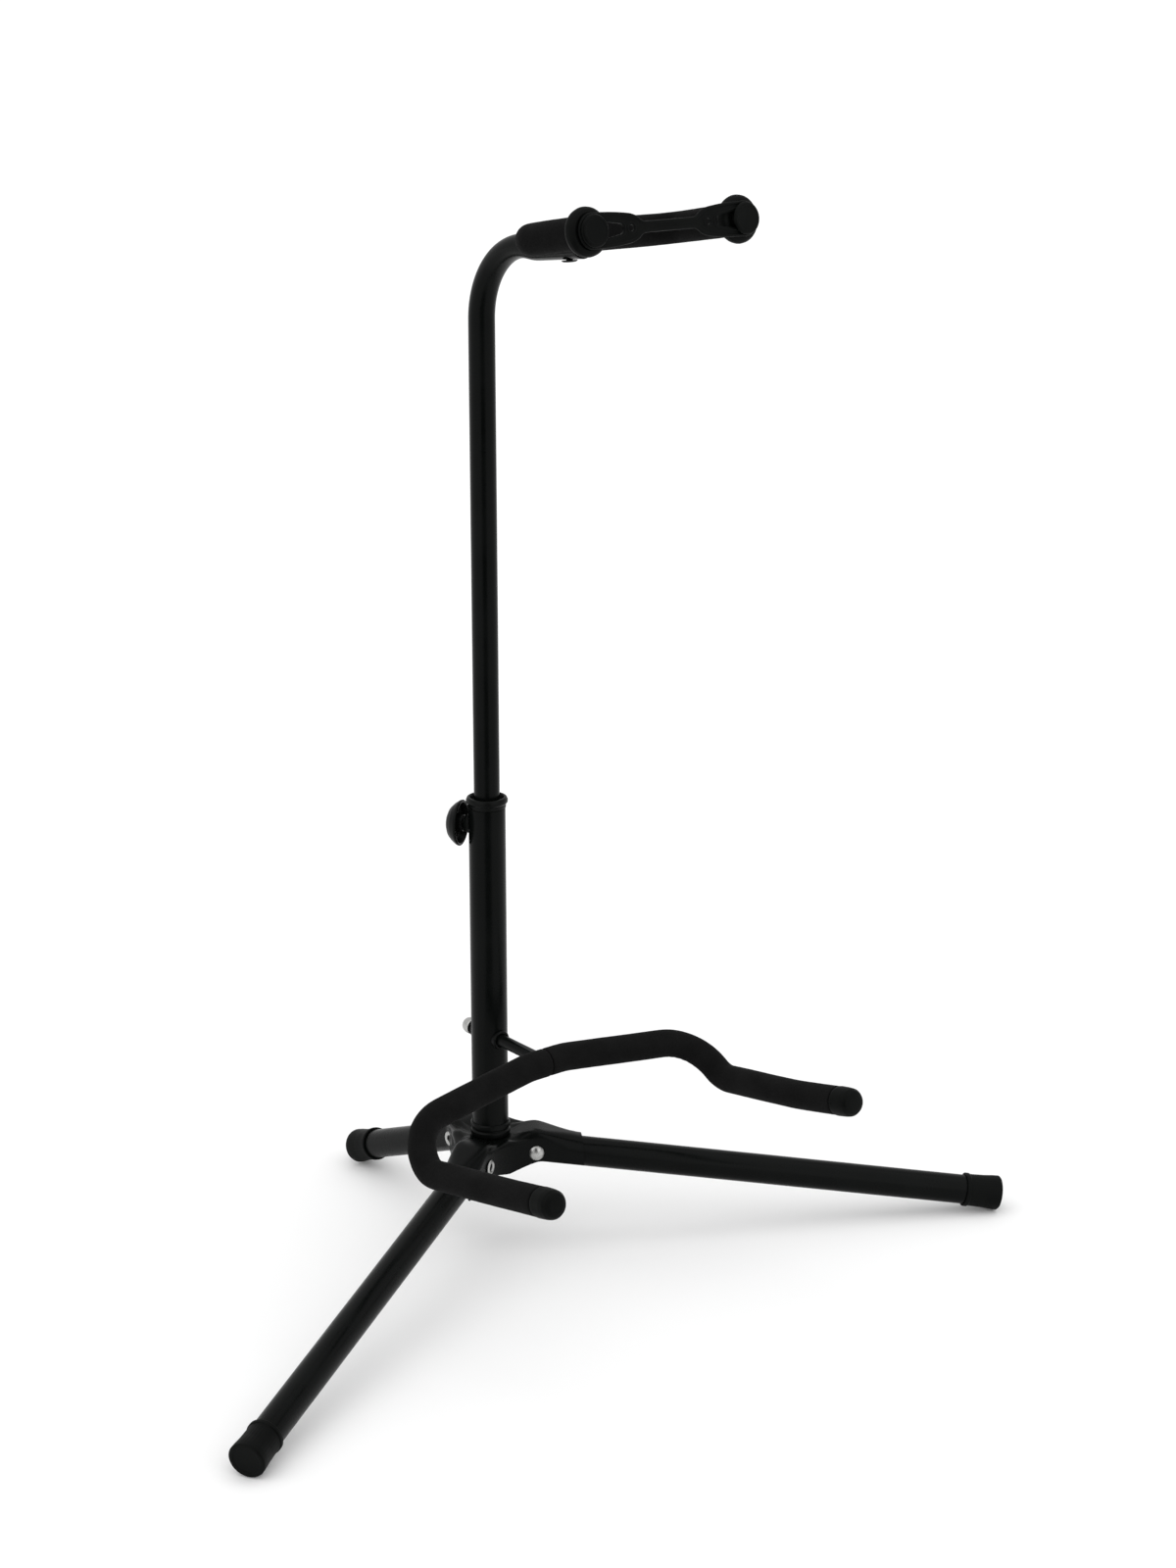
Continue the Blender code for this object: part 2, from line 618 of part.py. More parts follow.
def security_strap():
    """Rubber strip looped behind both buttons, with a slot in each lobe and a thin web."""
    quarter = strap_outline()
    top = quarter + [(-x, y) for x, y in reversed(quarter)]
    loop = top + [(x, -y) for x, y in reversed(top[1:-1])]
    z0 = ARM_LEN + FLANGE_T + 0.0003
    bm = bmesh.new()
    low = [bm.verts.new((x, y, z0)) for x, y in loop]
    high = [bm.verts.new((x, y, z0 + STRAP_T)) for x, y in loop]
    bm.faces.new(low)
    bm.faces.new(high)
    for i in range(len(loop)):
        j = (i + 1) % len(loop)
        bm.faces.new((low[i], low[j], high[j], high[i]))
    bm.transform(yoke_frame_matrix())
    obj = finish("security_strap", bm, RUBBER)
    for side in (-1.0, 1.0):
        cut(obj, strap_slot(side, z0))
        spot = yoke_frame_matrix() @ Vector((side * 0.0272, 0.0, z0 - 0.002))
        tip = yoke_frame_matrix() @ Vector((side * 0.0272, 0.0, z0 + 0.006))
        cut(obj, rod(0.0018, spot, tip, seg=16))
    return obj


def strap_slot(side, z0):
    """Tapered keyhole: round at the button's neck, narrowing towards the web."""
    bm = bmesh.new()
    r, narrow = NECK_R + GAP, 0.0030
    pts = []
    for k in range(13):
        a = math.radians(-100.0 + 200.0 * k / 12.0)
        pts.append((YOKE_HALF + r * math.cos(a), r * math.sin(a)))
    for k in range(7):
        a = math.radians(90.0 + 180.0 * k / 6.0)
        pts.append((0.0355 + narrow * math.cos(a), narrow * math.sin(a)))
    low = [bm.verts.new((side * x, y, z0 - 0.002)) for x, y in pts]
    high = [bm.verts.new((side * x, y, z0 + 0.006)) for x, y in pts]
    bm.faces.new(low)
    bm.faces.new(high)
    for i in range(len(pts)):
        j = (i + 1) % len(pts)
        bm.faces.new((low[i], low[j], high[j], high[i]))
    bm.transform(yoke_frame_matrix())
    return bm


def cradle_half(side, start, tip_y):
    """Centreline of one cradle arm: across, down round the corner, forward along the prong."""
    points = [(side * start, CRADLE_Y, 0.0), (side * 0.014, CRADLE_Y, 0.0),
              (side * (CRADLE_HALF - 0.0053), CRADLE_Y - 0.0112, -0.0097),
              (side * CRADLE_HALF, CRADLE_Y - 0.0361, -0.0299),
              (side * PRONG_BELLY, CRADLE_Y - 0.1106, -0.0168)]
    dip = Vector(points[-1])
    tip = Vector((side * PRONG_HALF, PRONG_TIP_Y, -0.0056))
    points.append(dip.lerp(tip, (dip.y - tip_y) / (dip.y - PRONG_TIP_Y)))
    path = bend(points, [0.060, 0.0330, 0.0162, 0.120], math.radians(13.0))
    place = Matrix.Translation((0.0, 0.0, STEM_Z)) @ Matrix.Rotation(CRADLE_ROLL, 4, "Y")
    return [place @ p for p in path]


def cradle_frame():
    """Steel U-bar welded to the stem that runs through the lower tube."""
    left = cradle_half(-1.0, 0.0, PRONG_TIP_Y + 0.004)
    right = cradle_half(1.0, 0.0, PRONG_TIP_Y + 0.004)
    bm = pipe(list(reversed(left)) + right[1:], STEM_D / 2.0, seg=14)
    obj = finish("cradle_frame", bm, PAINT, (0.0, 0.0, STEM_Z))
    join(obj, rod(STEM_D / 2.0, (0.0, STEM_REAR, STEM_Z), (0.0, CRADLE_Y, STEM_Z)))
    return obj


def cradle_foam(name, side):
    path = cradle_half(side, 0.00025, PRONG_TIP_Y + CAP_LEN + GAP)
    bm = pipe(path, FOAM_D / 2.0, STEM_D / 2.0 + GAP, ease=0.0012)
    obj = finish("cradle_foam_" + name, bm, FOAM, (0.0, 0.0, STEM_Z))
    cut(obj, rod(STEM_D / 2.0 + GAP, (0.0, 0.02, STEM_Z), (0.0, CRADLE_Y, STEM_Z)))
    return obj


def cradle_cap(name, side):
    """Round-nosed rubber cap on the end of a prong."""
    path = cradle_half(side, 0.0, PRONG_TIP_Y)
    tip = path[-1]
    along = (path[-1] - path[-2]).normalized()
    bore = STEM_D / 2.0 + GAP
    r = FOAM_D / 2.0 + 0.0003
    length = CAP_LEN - 0.0002
    outline = [(bore, -length), (r - 0.0005, -length), (r, -length + 0.0005), (r, -0.0052),
               (r - 0.0006, -0.0030), (r - 0.0020, -0.0013), (r - 0.0042, -0.0003), (0.0, 0.0),
               (0.0, -0.0036), (bore, -0.0036)]
    bm = lathe(outline, frame_to(tip, along), seg=20)
    return finish("cradle_cap_" + name, bm, RUBBER, (0.0, 0.0, STEM_Z))


def stem_washer(name, side):
    """Plastic ring saddled on the lower tube round the stem hole."""
    axis = frame_to((0.0, 0.0, STEM_Z), (0.0, side, 0.0))
    bore = STEM_D / 2.0 + GAP
    outline = [(bore, 0.009), (0.0062, 0.009), (0.0062, 0.0132), (0.0056, 0.0139), (bore, 0.0139)]
    obj = finish("stem_washer_" + name, lathe(outline, axis, seg=20), PLASTIC)
    low, high = (0.0, 0.0, STEM_Z - 0.02), (0.0, 0.0, STEM_Z + 0.02)
    cut(obj, rod(LOWER_D / 2.0 + GAP, low, high, seg=32))
    return obj


def stem_cap():
    """Push-on cap that keeps the stem in the tube."""
    axis = frame_to((0.0, 0.0, STEM_Z), (0.0, 1.0, 0.0))
    bore = STEM_D / 2.0 + GAP
    outline = [(bore, 0.0175), (0.0050, 0.0175), (0.0053, 0.0180), (0.0053, 0.0215), (0.0047, 0.0240),
               (0.0030, 0.0255), (0.0, 0.0260), (0.0, STEM_REAR + GAP), (bore, STEM_REAR + GAP)]
    return finish("stem_cap", lathe(outline, axis, seg=18), STEEL, (0.0, 0.0, STEM_Z))


def build():
    clear_scene()
    hub_bracket()
    for leg_data in LEGS:
        leg(*leg_data)
        foot(*leg_data)
        rivet(*leg_data)
    lower_tube()
    base_collar()
    top_bush()
    clamp_boss()
    lock_screw()
    lock_knob()
    mast_foot()
    upper_tube()
    yoke_frame()
    yoke_screw()
    security_strap()
    cradle_frame()
    stem_cap()
    for name, side in (("left", -1.0), ("right", 1.0)):
        yoke_foam(name, side)
        yoke_knob(name, side)
        cradle_foam(name, side)
        cradle_cap(name, side)
    for name, side in (("front", -1.0), ("rear", 1.0)):
        stem_washer(name, side)


build()
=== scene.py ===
"""Looks of a tubular tripod guitar stand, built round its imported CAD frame.

Metres, +Z up. The front of the stand looks along -Y and left is -X. The mast is the Z axis
and the feet stand on z = 0.
"""
import json
import math

import bmesh
import bpy
from mathutils import Matrix, Vector, noise


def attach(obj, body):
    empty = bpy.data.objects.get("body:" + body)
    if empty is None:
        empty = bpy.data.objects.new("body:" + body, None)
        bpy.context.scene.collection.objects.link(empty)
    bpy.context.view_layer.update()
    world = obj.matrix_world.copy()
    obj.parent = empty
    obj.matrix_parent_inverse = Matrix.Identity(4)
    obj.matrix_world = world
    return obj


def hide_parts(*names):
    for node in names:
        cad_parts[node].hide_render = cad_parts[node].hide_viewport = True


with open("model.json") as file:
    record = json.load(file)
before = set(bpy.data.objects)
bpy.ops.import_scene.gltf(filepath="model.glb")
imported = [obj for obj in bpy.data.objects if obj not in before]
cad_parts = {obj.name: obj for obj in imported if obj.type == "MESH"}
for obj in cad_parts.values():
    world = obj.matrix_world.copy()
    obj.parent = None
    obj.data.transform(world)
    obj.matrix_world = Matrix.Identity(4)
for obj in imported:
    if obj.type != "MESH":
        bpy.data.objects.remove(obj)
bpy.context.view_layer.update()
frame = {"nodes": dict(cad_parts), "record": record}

NODES = frame["nodes"]
BODY_OF = {n: b for b, ns in frame["record"]["behaviour"]["bodies"].items() for n in ns}


# ---------------------------------------------------------------- materials

MIX_FIRST, MIX_SECOND, MIX_RESULT = 6, 7, 2  # colour sockets of a Mix node


class Look:
    """Small helper round one Principled material's node tree."""

    def __init__(self, name):
        self.mat = bpy.data.materials.new(name)
        self.mat.use_nodes = True
        self.tree = self.mat.node_tree
        self.shader = self.tree.nodes["Principled BSDF"]
        self.coord = self.add("ShaderNodeTexCoord").outputs["Object"]

    def put(self, socket, value):
        """Link a socket to the input, or set a plain value on it."""
        if isinstance(value, bpy.types.NodeSocket):
            self.tree.links.new(value, socket)
        else:
            socket.default_value = value

    def add(self, kind, inputs=None, **settings):
        """New node with its settings made and its inputs filled in."""
        node = self.tree.nodes.new(kind)
        for key, value in settings.items():
            setattr(node, key, value)
        for key, value in (inputs or {}).items():
            self.put(node.inputs[key], value)
        return node

    def set(self, **values):
        """Fill in the shader's inputs; each _ stands for a space in the input's name."""
        for key, value in values.items():
            self.put(self.shader.inputs[key.replace("_", " ")], value)

    def stretch(self, scale):
        """Object coordinates scaled axis by axis."""
        inputs = {"Vector": self.coord, "Scale": scale}
        return self.add("ShaderNodeMapping", inputs).outputs["Vector"]

    def noise(self, scale, detail=2.0, rough=0.5, vector=None, distortion=0.0):
        inputs = {"Vector": self.coord if vector is None else vector, "Scale": scale,
                  "Detail": detail, "Roughness": rough, "Distortion": distortion}
        return self.add("ShaderNodeTexNoise", inputs).outputs["Fac"]

    def cells(self, scale):
        inputs = {"Vector": self.coord, "Scale": scale}
        return self.add("ShaderNodeTexVoronoi", inputs, feature="F1").outputs["Distance"]

    def remap(self, value, low, high, to_low, to_high):
        """Smooth step from one range to another."""
        inputs = {"Value": value, "From Min": low, "From Max": high,
                  "To Min": to_low, "To Max": to_high}
        node = self.add("ShaderNodeMapRange", inputs, interpolation_type="SMOOTHSTEP")
        return node.outputs["Result"]

    def math(self, kind, a, b):
        return self.add("ShaderNodeMath", {0: a, 1: b}, operation=kind).outputs[0]

    def mix(self, share, first, second):
        """Blend two colours, each a socket or plain RGB."""
        inputs = {"Factor": share}
        for index, colour in ((MIX_FIRST, first), (MIX_SECOND, second)):
            linked = isinstance(colour, bpy.types.NodeSocket)
            inputs[index] = colour if linked else (*colour, 1.0)
        return self.add("ShaderNodeMix", inputs, data_type="RGBA").outputs[MIX_RESULT]

    def bump(self, height, depth, strength, after=None):
        inputs = {"Height": height, "Distance": depth, "Strength": strength}
        if after is not None:
            inputs["Normal"] = after
        return self.add("ShaderNodeBump", inputs).outputs["Normal"]


def paint_look():
    """Satin black powder coat: faint orange peel, fine dust specks and soft gloss changes."""
    look = Look("powder_coat")
    broad = look.noise(38.0, 3.0)
    fine = look.noise(620.0, 2.0)
    specks = look.remap(look.cells(420.0), 0.05, 0.11, 1.0, 0.0)
    dusty = look.math("MULTIPLY", specks, look.remap(look.noise(90.0), 0.56, 0.66, 0.0, 0.5))
    deep, pale, dust = (0.0017, 0.0021, 0.0019), (0.0025, 0.0030, 0.0028), (0.008, 0.008, 0.008)
    base = look.mix(look.remap(broad, 0.3, 0.7, 0.0, 1.0), deep, pale)
    look.set(Base_Color=look.mix(dusty, base, dust))
    uneven = look.math("ADD", broad, look.math("MULTIPLY", fine, 0.3))
    look.set(Roughness=look.remap(uneven, 0.4, 0.9, 0.22, 0.34))
    peel = look.bump(fine, 0.00010, 0.35)
    look.set(Normal=look.bump(specks, 0.00003, 0.2, peel))
    look.set(Specular_IOR_Level=0.065)
    return look.mat


def foam_look(name, tone):
    """Foam sleeve: fine surface pores with painted shade in them, slight skin mottling and handling
    scuffs; a tone below 1 darkens the whole foam as painted shade.
    """
    look = Look(name)
    pores = look.cells(1250.0)
    grain = look.noise(700.0, 4.0, 0.65)
    mottle = look.noise(55.0, 4.0, 0.6)
    scuff = look.math("MULTIPLY", look.remap(look.noise(21.0, 2.0), 0.57, 0.68, 0.0, 1.0),
                      look.remap(grain, 0.35, 0.65, 0.35, 1.0))
    deep, pale = [0.0036 * tone] * 3, [0.0054 * tone] * 3
    painted_pore_shade, scuffed = (0.0012, 0.0012, 0.0012), (0.0105, 0.0105, 0.0105)
    base = look.mix(look.remap(mottle, 0.3, 0.7, 0.0, 1.0), deep, pale)
    # Darker at each pore's centre, where the bump dimples: painted shade in the pores.
    base = look.mix(look.remap(pores, 0.0, 0.35, 0.55, 0.0), base, painted_pore_shade)
    look.set(Base_Color=look.mix(look.math("MULTIPLY", scuff, 0.5), base, scuffed))
    look.set(Roughness=look.remap(grain, 0.3, 0.7, 0.82, 0.96))
    rough = look.bump(grain, 0.00022, 0.55)
    look.set(Normal=look.bump(look.remap(pores, 0.0, 0.4, 0.0, 1.0), 0.00018, 0.45, rough))
    look.set(Specular_IOR_Level=0.06, Sheen_Weight=0.010, Sheen_Roughness=0.40)
    return look.mat


def rubber_look():
    """Moulded rubber: matte skin with a fine grain and a patchy bloom."""
    look = Look("moulded_rubber")
    grain = look.noise(1500.0, 3.0, 0.6)
    bloom = look.noise(70.0, 4.0, 0.6)
    deep, pale = (0.0020, 0.0024, 0.0022), (0.0034, 0.0039, 0.0036)
    look.set(Base_Color=look.mix(look.remap(bloom, 0.35, 0.7, 0.0, 1.0), deep, pale))
    uneven = look.math("ADD", bloom, look.math("MULTIPLY", grain, 0.25))
    look.set(Roughness=look.remap(uneven, 0.4, 0.85, 0.42, 0.60))
    look.set(Normal=look.bump(grain, 0.00007, 0.45))
    look.set(Specular_IOR_Level=0.05)
    return look.mat


def plastic_look():
    """Injection-moulded plastic with a spark-eroded grain."""
    look = Look("moulded_plastic")
    grain = look.noise(1900.0, 2.0, 0.5)
    cloud = look.noise(60.0, 3.0)
    deep, pale = (0.0018, 0.0021, 0.0020), (0.0027, 0.0031, 0.0029)
    look.set(Base_Color=look.mix(look.remap(cloud, 0.35, 0.65, 0.0, 1.0), deep, pale))
    uneven = look.math("ADD", cloud, look.math("MULTIPLY", grain, 0.4))
    look.set(Roughness=look.remap(uneven, 0.5, 1.0, 0.28, 0.42))
    look.set(Normal=look.bump(grain, 0.00006, 0.5))
    look.set(Specular_IOR_Level=0.075)
    return look.mat


def steel_look(name, tone, rough):
    """Bright plated steel with hairline tumbling marks and a little tarnish."""
    look = Look(name)
    lines = look.noise(260.0, 3.0, 0.6, look.stretch((1.0, 1.0, 9.0)), 1.5)
    spots = look.noise(330.0, 4.0, 0.6)
    dull = tuple(0.72 * c for c in tone)
    look.set(Base_Color=look.mix(look.remap(spots, 0.5, 0.75, 0.0, 1.0), tone, dull), Metallic=1.0)
    look.set(Roughness=look.remap(look.math("ADD", lines, spots), 0.7, 1.3, rough, rough + 0.16))
    look.set(Normal=look.bump(lines, 0.00004, 0.4))
    return look.mat


PAINT = paint_look()
FOAM = foam_look("foam_sleeve", 1.0)
# A copy of the same foam darkened to 72 per cent: painted shade for the yoke sleeves, which sit in
# shadow.
FOAM_PAINTED_SHADE = foam_look("foam_sleeve_painted_shade", 0.72)
RUBBER = rubber_look()
PLASTIC = plastic_look()
PLATED = steel_look("plated_steel", (0.44, 0.44, 0.43), 0.24)

WORN_BY = (
    (PAINT, "hub_bracket leg_left leg_right leg_back lower_tube upper_tube yoke_frame"
            " cradle_frame clamp_boss"),
    (RUBBER, "foot_left foot_right foot_back security_strap yoke_knob_left yoke_knob_right"
             " cradle_cap_left cradle_cap_right"),
    (PLASTIC, "base_collar top_bush lock_knob mast_foot yoke_screw stem_washer_front"
              " stem_washer_rear"),
    (PLATED, "rivet_left rivet_right rivet_back lock_screw stem_cap"),
    (FOAM, "yoke_foam_left yoke_foam_right cradle_foam_left cradle_foam_right"),
)
for worn, names in WORN_BY:
    for carried in names.split():
        NODES[carried].data.materials.clear()
        NODES[carried].data.materials.append(worn)


# ---------------------------------------------------------------- dimensions shared with the CAD

GAP = 0.0003  # clearance between parts that touch
LEG_D, LEG_WALL, LEG_TAIL = 0.0195, 0.0012, 0.0065
PIVOT_R, PIVOT_Z = 0.0289, 0.0629
FRONT_REACH, BACK_REACH = 0.3426, 0.1578
FOOT_R, FOOT_LEN, FOOT_END = 0.0115, 0.0245, 0.003
HUB_WALL, HUB_HALF, HUB_ARM, HUB_SKIRT = 0.0013, 0.0118, 0.060, 0.0572
HUB_LOBE_DIP, HUB_EDGE_R = 0.0055, 0.0105
RIVET_D, RIVET_HEAD_D = 0.006, 0.0105
LEGS = (("left", -149.5, FRONT_REACH), ("right", -30.5, FRONT_REACH), ("back", 90.0, BACK_REACH))
LOWER_D, LOWER_WALL, LOWER_TOP = 0.0235, 0.0017, 0.2964
UPPER_D, UPPER_WALL, UPPER_FOOT_Z = 0.0164, 0.0012, 0.1506
BEND_R, BEND_CORNER_Z, BEND_FLAT, BEND_FADE = 0.048, 0.6464, 0.23, 0.016
HEAD_TILT, HEAD_RUN = math.radians(6.6), 0.1015
COLLAR_D, LIP_D = 0.0260, 0.0266
LOCK_Z, LOCK_AZIMUTH = 0.2846, math.radians(126.0)
KNOB_R, KNOB_IN, KNOB_OUT = 0.0149, 0.0165, 0.0262
STEM_D, STEM_Z, STEM_REAR, CRADLE_Y = 0.008, 0.1424, 0.0235, -0.061
CRADLE_HALF, CRADLE_ROLL = 0.1159, math.radians(-1.07)
PRONG_BELLY, PRONG_HALF, PRONG_TIP_Y = 0.1138, 0.1150, -0.2243
FOAM_D, CAP_LEN = 0.0180, 0.0155
YOKE_AT, YOKE_TILT, YOKE_HALF = Vector((0.0, -0.113, 0.6647)), math.radians(9.6), 0.0538
YOKE_ROD_D, YOKE_FOAM_D, YOKE_CORNER, ARM_LEN = 0.010, 0.0184, 0.0155, 0.0578
FLANGE_R, FLANGE_T, NECK_R, NECK_LEN = 0.0138, 0.0077, 0.0055, 0.0029
BUTTON_R, BUTTON_T, STRAP_T = 0.0091, 0.0023, 0.0023


# ---------------------------------------------------------------- sizes of the visible detail

SIDES = (("left", -1.0), ("right", 1.0))
SHARP, STRAP_SHARP, HUB_SHARP, FOAM_SHARP = 40.0, 35.0, 50.0, 60.0  # edges harder than this show
TUBE_EASE = 0.0003          # rounding at a tube's cut ends
EASE_STEPS = 5
# The shown hub is higher and fuller than the CAD's, so these are not the CAD's values. HUB_TOP
# also carries the collar and the foot of the lower tube.
HUB_TOP, HUB_PEAK, HUB_PEAK_AT, HUB_FLAT_FROM = 0.0736, 0.0778, 0.030, 0.034
HUB_EDGE_NEAR, HUB_BOXY_TO, HUB_ROUND_FROM = 0.0040, 0.030, 0.054
HUB_PLATE_R, HUB_FLAT_R = 0.0136, 0.0118
HUB_RISE_AT, HUB_RISE = 0.0225, 0.0033
CREST_EASE = (-0.0026, -0.0013, 0.0, 0.0013, 0.0026)
LOBE_EDGE_R, LOBE_RISE_RUN = 0.0032, 0.006
REAR_LOBE_OUT, REAR_LOBE_UP, REAR_LOBE_POWER = 0.22, 0.0030, 0.9
SKIRT_SLOPE_FROM = 0.030
FLUTES, FLUTE_DEPTH, FLUTE_FADE = 36.0, 0.00005, 0.0015
LOCK_BORE_R, LOCK_STUD_END, KNOB_SOCKET_END = 0.0033, 0.0228, 0.0232
THREAD_PITCH, THREAD_ROOT_R, THREAD_CREST_R = 0.0010, 0.0026, 0.0030
BORE_REACH = 0.02           # how far a cutting rod reaches from the point it is placed at
YOKE_SCREW_RUN, YOKE_SCREW_BORE_R, YOKE_SCREW_R = 0.0875, 0.0023, 0.0020
YOKE_PEG_FROM, YOKE_PEG_TO = 0.09, 0.1112
BENT_FROM, BEND_APART, BEND_HALF_MIN = 22.5, 0.030, 0.010  # BENT_FROM in radians per metre
CREASE_PITCH, CREASE_BASE, CREASE_DEPTH, STRETCH_THIN = 0.0052, 0.00010, 0.00042, 0.00012
FOAM_SLOW, FOAM_FINE = 0.00014, 0.00005
HALF_SPLIT = 0.00025        # half the slit between two foam sleeves
STRAP_END_R, STRAP_HALF, WEB_HALF = 0.0095, 0.0101, 0.0032
STRAP_FLOOR, STRAP_RIM_R, SLOT_RIM_R = 0.0007, 0.00115, 0.0010
EYELET_X, EYELET_R = 0.0272, 0.0018
SLOT_END_X, SLOT_END_R = 0.0355, 0.0030


# ---------------------------------------------------------------- mesh helpers

def new_object(name, data):
    obj = bpy.data.objects.new(name, data)
    bpy.context.scene.collection.objects.link(obj)
    return obj


def to_mesh(bm, name):
    """Turn a bmesh into mesh data and free it."""
    mesh = bpy.data.meshes.new(name)
    bm.to_mesh(mesh)
    bm.free()
    return mesh


def shade(mesh, sharp):
    mesh.shade_smooth()
    mesh.set_sharp_from_angle(angle=math.radians(sharp))


def piece(name, bm, look, node, sharp=SHARP):
    """Finish a mesh as a smooth-shaded piece that stands for one CAD node and rides on its body."""
    bmesh.ops.remove_doubles(bm, verts=bm.verts, dist=2e-7)
    bmesh.ops.dissolve_degenerate(bm, dist=1e-7, edges=bm.edges)
    bmesh.ops.recalc_face_normals(bm, faces=bm.faces)
    mesh = to_mesh(bm, name)
    shade(mesh, sharp)
    mesh.materials.append(look)
    obj = new_object(name, mesh)
    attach(obj, BODY_OF[node])
    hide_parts(node)
    return obj


def apply_all(obj):
    """Replace obj's mesh by its evaluated one and drop the modifiers."""
    bpy.context.view_layer.update()
    graph = bpy.context.evaluated_depsgraph_get()
    result = bpy.data.meshes.new_from_object(obj.evaluated_get(graph))
    obj.modifiers.clear()
    obj.data = result


def boolean(obj, bm, operation, sharp=SHARP):
    """Combine obj with a temporary closed solid and keep the result as its mesh."""
    bmesh.ops.recalc_face_normals(bm, faces=bm.faces)
    tool = new_object("tool", to_mesh(bm, "tool"))
    mod = obj.modifiers.new("combine", "BOOLEAN")
    mod.operation, mod.solver, mod.object = operation, "EXACT", tool
    apply_all(obj)
    bpy.data.objects.remove(tool, do_unlink=True)
    shade(obj.data, sharp)


def carve(obj, bm, sharp=SHARP):
    boolean(obj, bm, "DIFFERENCE", sharp)


def even_angles(count):
    return [2.0 * math.pi * k / count for k in range(count)]


def distances(points):
    """Distance along a line at each of its points."""
    run = [0.0]
    for a, b in zip(points, points[1:]):
        run.append(run[-1] + (b - a).length)
    return run


def bridge(bm, a, b):
    """Quads between two rings that have the same number of vertices."""
    for i in range(len(a)):
        j = (i + 1) % len(a)
        bm.faces.new((a[i], a[j], b[j], b[i]))


def soften(outline, steps=4):
    """Closed (r, z, radius) outline with each corner rounded to its radius."""
    flat = []
    count = len(outline)
    for k, corner in enumerate(outline):
        here = Vector(corner[:2])
        want = corner[2] if len(corner) > 2 else 0.0
        u = Vector(outline[k - 1][:2]) - here
        v = Vector(outline[(k + 1) % count][:2]) - here
        straight = math.radians(178.0)
        if want <= 0.0 or min(u.length, v.length) < 1e-6 or u.angle(v) > straight:
            flat.append(tuple(here))
            continue
        inner = u.angle(v)
        reach = min(want / math.tan(inner / 2.0), 0.48 * u.length, 0.48 * v.length)
        first, last = here + u.normalized() * reach, here + v.normalized() * reach
        for i in range(steps + 1):
            t = i / steps
            flat.append(tuple(first * (1 - t) ** 2 + here * (2 * t * (1 - t)) + last * t ** 2))
    return flat


def lathe(outline, frame_matrix=None, seg=72, warp=None):
    """Solid of revolution about local Z; warp(r, z, angle) may change the radius."""
    bm = bmesh.new()
    rings = []
    for r, z in soften(outline):
        if r < 1e-7:
            rings.append([bm.verts.new((0.0, 0.0, z))])
            continue
        ring = []
        for a in even_angles(seg):
            reach = r if warp is None else warp(r, z, a)
            ring.append(bm.verts.new((reach * math.cos(a), reach * math.sin(a), z)))
        rings.append(ring)
    for a, b in zip(rings, rings[1:] + rings[:1]):
        if len(a) == 1 and len(b) == 1:
            continue
        for i in range(seg):
            j = (i + 1) % seg
            loop = [a[i % len(a)], a[j % len(a)], b[j % len(b)], b[i % len(b)]]
            bm.faces.new(list(dict.fromkeys(loop)))
    if frame_matrix is not None:
        bm.transform(frame_matrix)
    return bm


def frame_to(origin, z_axis):
    """Matrix whose local Z runs along z_axis, with local X as upright as it can be."""
    z, up = Vector(z_axis).normalized(), Vector((0.0, 0.0, 1.0))
    x = up - z * up.dot(z)
    if x.length < 1e-6:
        x = Vector((1.0, 0.0, 0.0)) - z * z.x
    x.normalize()
    rot = Matrix((x, z.cross(x), z)).transposed().to_4x4()
    return Matrix.Translation(Vector(origin)) @ rot


def rod(radius, start, end, seg=32):
    start, end = Vector(start), Vector(end)
    length = (end - start).length
    outline = [(0.0, 0.0), (radius, 0.0), (radius, length), (0.0, length)]
    return lathe(outline, frame_to(start, end - start), seg)


def bend(points, radii, step=math.radians(3.0)):
    """Polyline with each inner corner rounded to the given radius."""
    pts = [Vector(p) for p in points]
    path = [pts[0]]
    for before, here, after, r in zip(pts, pts[1:], pts[2:], radii):
        u = (before - here).normalized()
        v = (after - here).normalized()
        inner = u.angle(v)
        reach = r / math.tan(inner / 2.0)
        center = here + (u + v).normalized() * (r / math.sin(inner / 2.0))
        first = here + u * reach - center
        last = here + v * reach - center
        turn = first.angle(last)
        count = max(2, math.ceil(turn / step))
        side = (last - first * (first.dot(last) / first.length_squared)).normalized() * r
        for k in range(count + 1):
            a = turn * k / count
            path.append(center + first * math.cos(a) + side * math.sin(a))
    path.append(pts[-1])
    return path


def resample(path, spacing):
    """The same line with a point about every spacing metres."""
    marks = distances(path)
    count = max(2, round(marks[-1] / spacing))
    out, k = [], 0
    for i in range(count + 1):
        s = marks[-1] * i / count
        while k < len(path) - 2 and marks[k + 1] < s:
            k += 1
        t = (s - marks[k]) / max(marks[k + 1] - marks[k], 1e-12)
        out.append(path[k].lerp(path[k + 1], min(1.0, max(0.0, t))))
    return out


def turned_frames(points):
    """Tangent and a non-twisting pair of cross directions at each point of a line."""
    frames, x = [], None
    for k in range(len(points)):
        tangent = (points[min(k + 1, len(points) - 1)] - points[max(k - 1, 0)]).normalized()
        x = tangent.orthogonal() if x is None else x
        x = (x - tangent * x.dot(tangent)).normalized()
        frames.append((tangent, x, tangent.cross(x)))
    return frames


